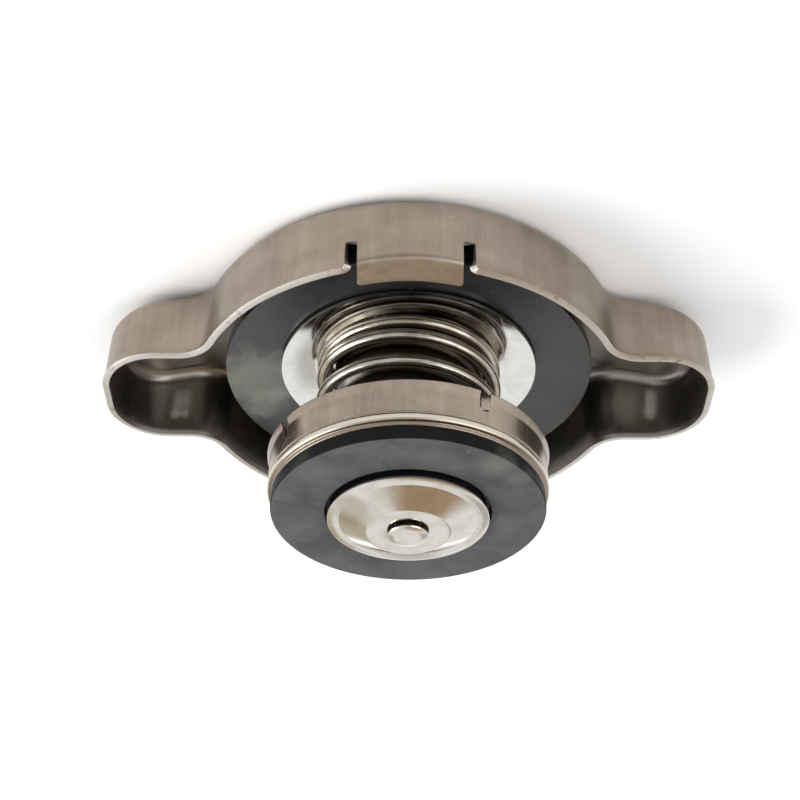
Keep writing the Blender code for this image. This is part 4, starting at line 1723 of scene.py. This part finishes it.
@dataclass
class Studio:
    """Pale floor, soft lamps, flags seen only in reflections, and the camera."""

    elevation: float = 34.6
    distance: float = 180.0 * MM
    aim: tuple[float, float, float] = (0.9 * MM, 0.0, 9.27 * MM)
    focal_pixels: float = 1698.0
    picture_width: float = 800.0
    sensor: float = 36.0
    roll: float = 180.4
    sky_light: float = 0.70
    floor_half: float = 3.0
    floor_drop: float = 0.02 * MM
    floor_lit: Colour = (0.62, 0.62, 0.62)
    floor_seen: Colour = (0.97, 0.97, 0.97)
    floor_far: Colour = (0.5, 0.5, 0.5)
    fade: tuple[float, float] = (90.0, 400.0)
    flags: tuple[Flag, ...] = (
        Flag(toward=(-0.32, 0.06, 0.95), edge=0.76, core=0.95, tint=(0.46, 0.33, 0.21)),
        Flag(toward=(0.0, -0.85, 0.53), edge=0.92, core=0.99, tint=(0.50, 0.47, 0.43)),
        Flag(toward=(0.35, 0.85, 0.25), edge=0.92, core=0.99, tint=(0.60, 0.54, 0.42)),
        Flag(toward=(-0.24, 0.82, 0.52), edge=0.975, core=0.995, tint=(0.60, 0.59, 0.55)),
    )
    lamps: tuple[Lamp, ...] = (
        Lamp("key_lamp", place=(0.62, 0.04, 0.50), side=0.50, power=4.2),
        Lamp("fill_lamp", place=(-0.45, -0.35, 0.55), side=0.60, power=2.0),
    )

    def camera(self) -> None:
        """The camera at the photograph's angle, turned over as the photograph is."""
        data = bpy.data.cameras.new("camera")
        data.lens = self.sensor * self.focal_pixels / self.picture_width
        data.sensor_width = self.sensor
        data.clip_start = 0.01
        item = placed("camera", data)
        tilt = math.radians(self.elevation)
        back = Vector((0.0, -math.cos(tilt), math.sin(tilt)))
        item.location = Vector(self.aim) + back * self.distance
        turned = (-back).to_track_quat("-Z", "Y").to_matrix().to_4x4()
        turned = turned @ Matrix.Rotation(math.radians(self.roll), 4, "Z")
        item.rotation_euler = turned.to_euler()
        bpy.context.scene.camera = item

    def floor(self) -> None:
        """The plain pale floor under the crown, which a camera sees fade to white far out."""
        shape = bmesh.new()
        bmesh.ops.create_grid(shape, x_segments=1, y_segments=1, size=self.floor_half)
        item = piece("floor", shape)
        item.location.z = -self.floor_drop
        recipe = Recipe("pale floor")
        recipe.set(Roughness=0.9, Specular_IOR_Level=0.1)
        seen = recipe.seen_rays()
        recipe.set(Base_Color=recipe.mix(seen, self.floor_lit, self.floor_seen))
        x, y, _ = recipe.axes()
        far = (x * x + y * y).root().step(*self.fade)
        glow = recipe.mix(far * seen, (0.0, 0.0, 0.0), self.floor_far)
        recipe.set(Emission_Color=glow, Emission_Strength=1.0)
        item.data.materials.append(recipe.material)

    def world(self) -> None:
        """White backdrop, and an even sky that lights the cap."""
        world = bpy.data.worlds.new("studio")
        bpy.context.scene.world = world
        world.use_nodes = True
        sky = world.node_tree.nodes["Background"]
        recipe = Recipe.of(world.node_tree)
        level = recipe.seen_rays() * (1.0 - self.sky_light) + self.sky_light
        recipe.feed(sky.inputs["Strength"], level)
        toward = recipe.node("ShaderNodeTexCoord").outputs["Generated"]
        glossy = Signal(recipe, recipe.node("ShaderNodeLightPath").outputs["Is Glossy Ray"])
        colour: Any = (1.0, 1.0, 1.0)
        for flag in self.flags:
            aim = tuple(Vector(flag.toward).normalized())
            settings, inputs = {"operation": "DOT_PRODUCT"}, {0: toward, 1: aim}
            dot = recipe.node("ShaderNodeVectorMath", settings, inputs).outputs["Value"]
            near = Signal(recipe, dot).step(flag.edge, flag.core)
            colour = recipe.mix(near * glossy, colour, flag.tint)
        recipe.feed(sky.inputs["Color"], colour)

    def light(self, lamp: Lamp) -> None:
        """Hang a soft area lamp, aimed at the cap's middle.

        Args:
            lamp: the lamp.
        """
        data = bpy.data.lights.new(lamp.name, "AREA")
        data.shape = "RECTANGLE"
        data.size = data.size_y = lamp.side
        data.energy = lamp.power
        item = placed(lamp.name, data)
        item.location = lamp.place
        run = Vector((0.0, 0.0, 10.0 * MM)) - Vector(lamp.place)
        item.rotation_euler = run.to_track_quat("-Z", "Y").to_euler()

    def build(self) -> None:
        """Set up everything round the cap."""
        self.camera()
        self.floor()
        self.world()
        for lamp in self.lamps:
            self.light(lamp)
        bpy.context.scene.view_settings.view_transform = "Standard"
        LOG.info("studio ready")


def main() -> None:
    """Build the cap's sub-assemblies in order, then the studio."""
    logging.basicConfig(level=logging.INFO, format="%(message)s")
    finishes = Finishes.make()
    CapShell().dress(finishes)
    Stack().dress(finishes)
    PressureValve().dress(finishes)
    VacuumValve().dress(finishes)
    Studio().build()


if __name__ == "__main__":
    main()
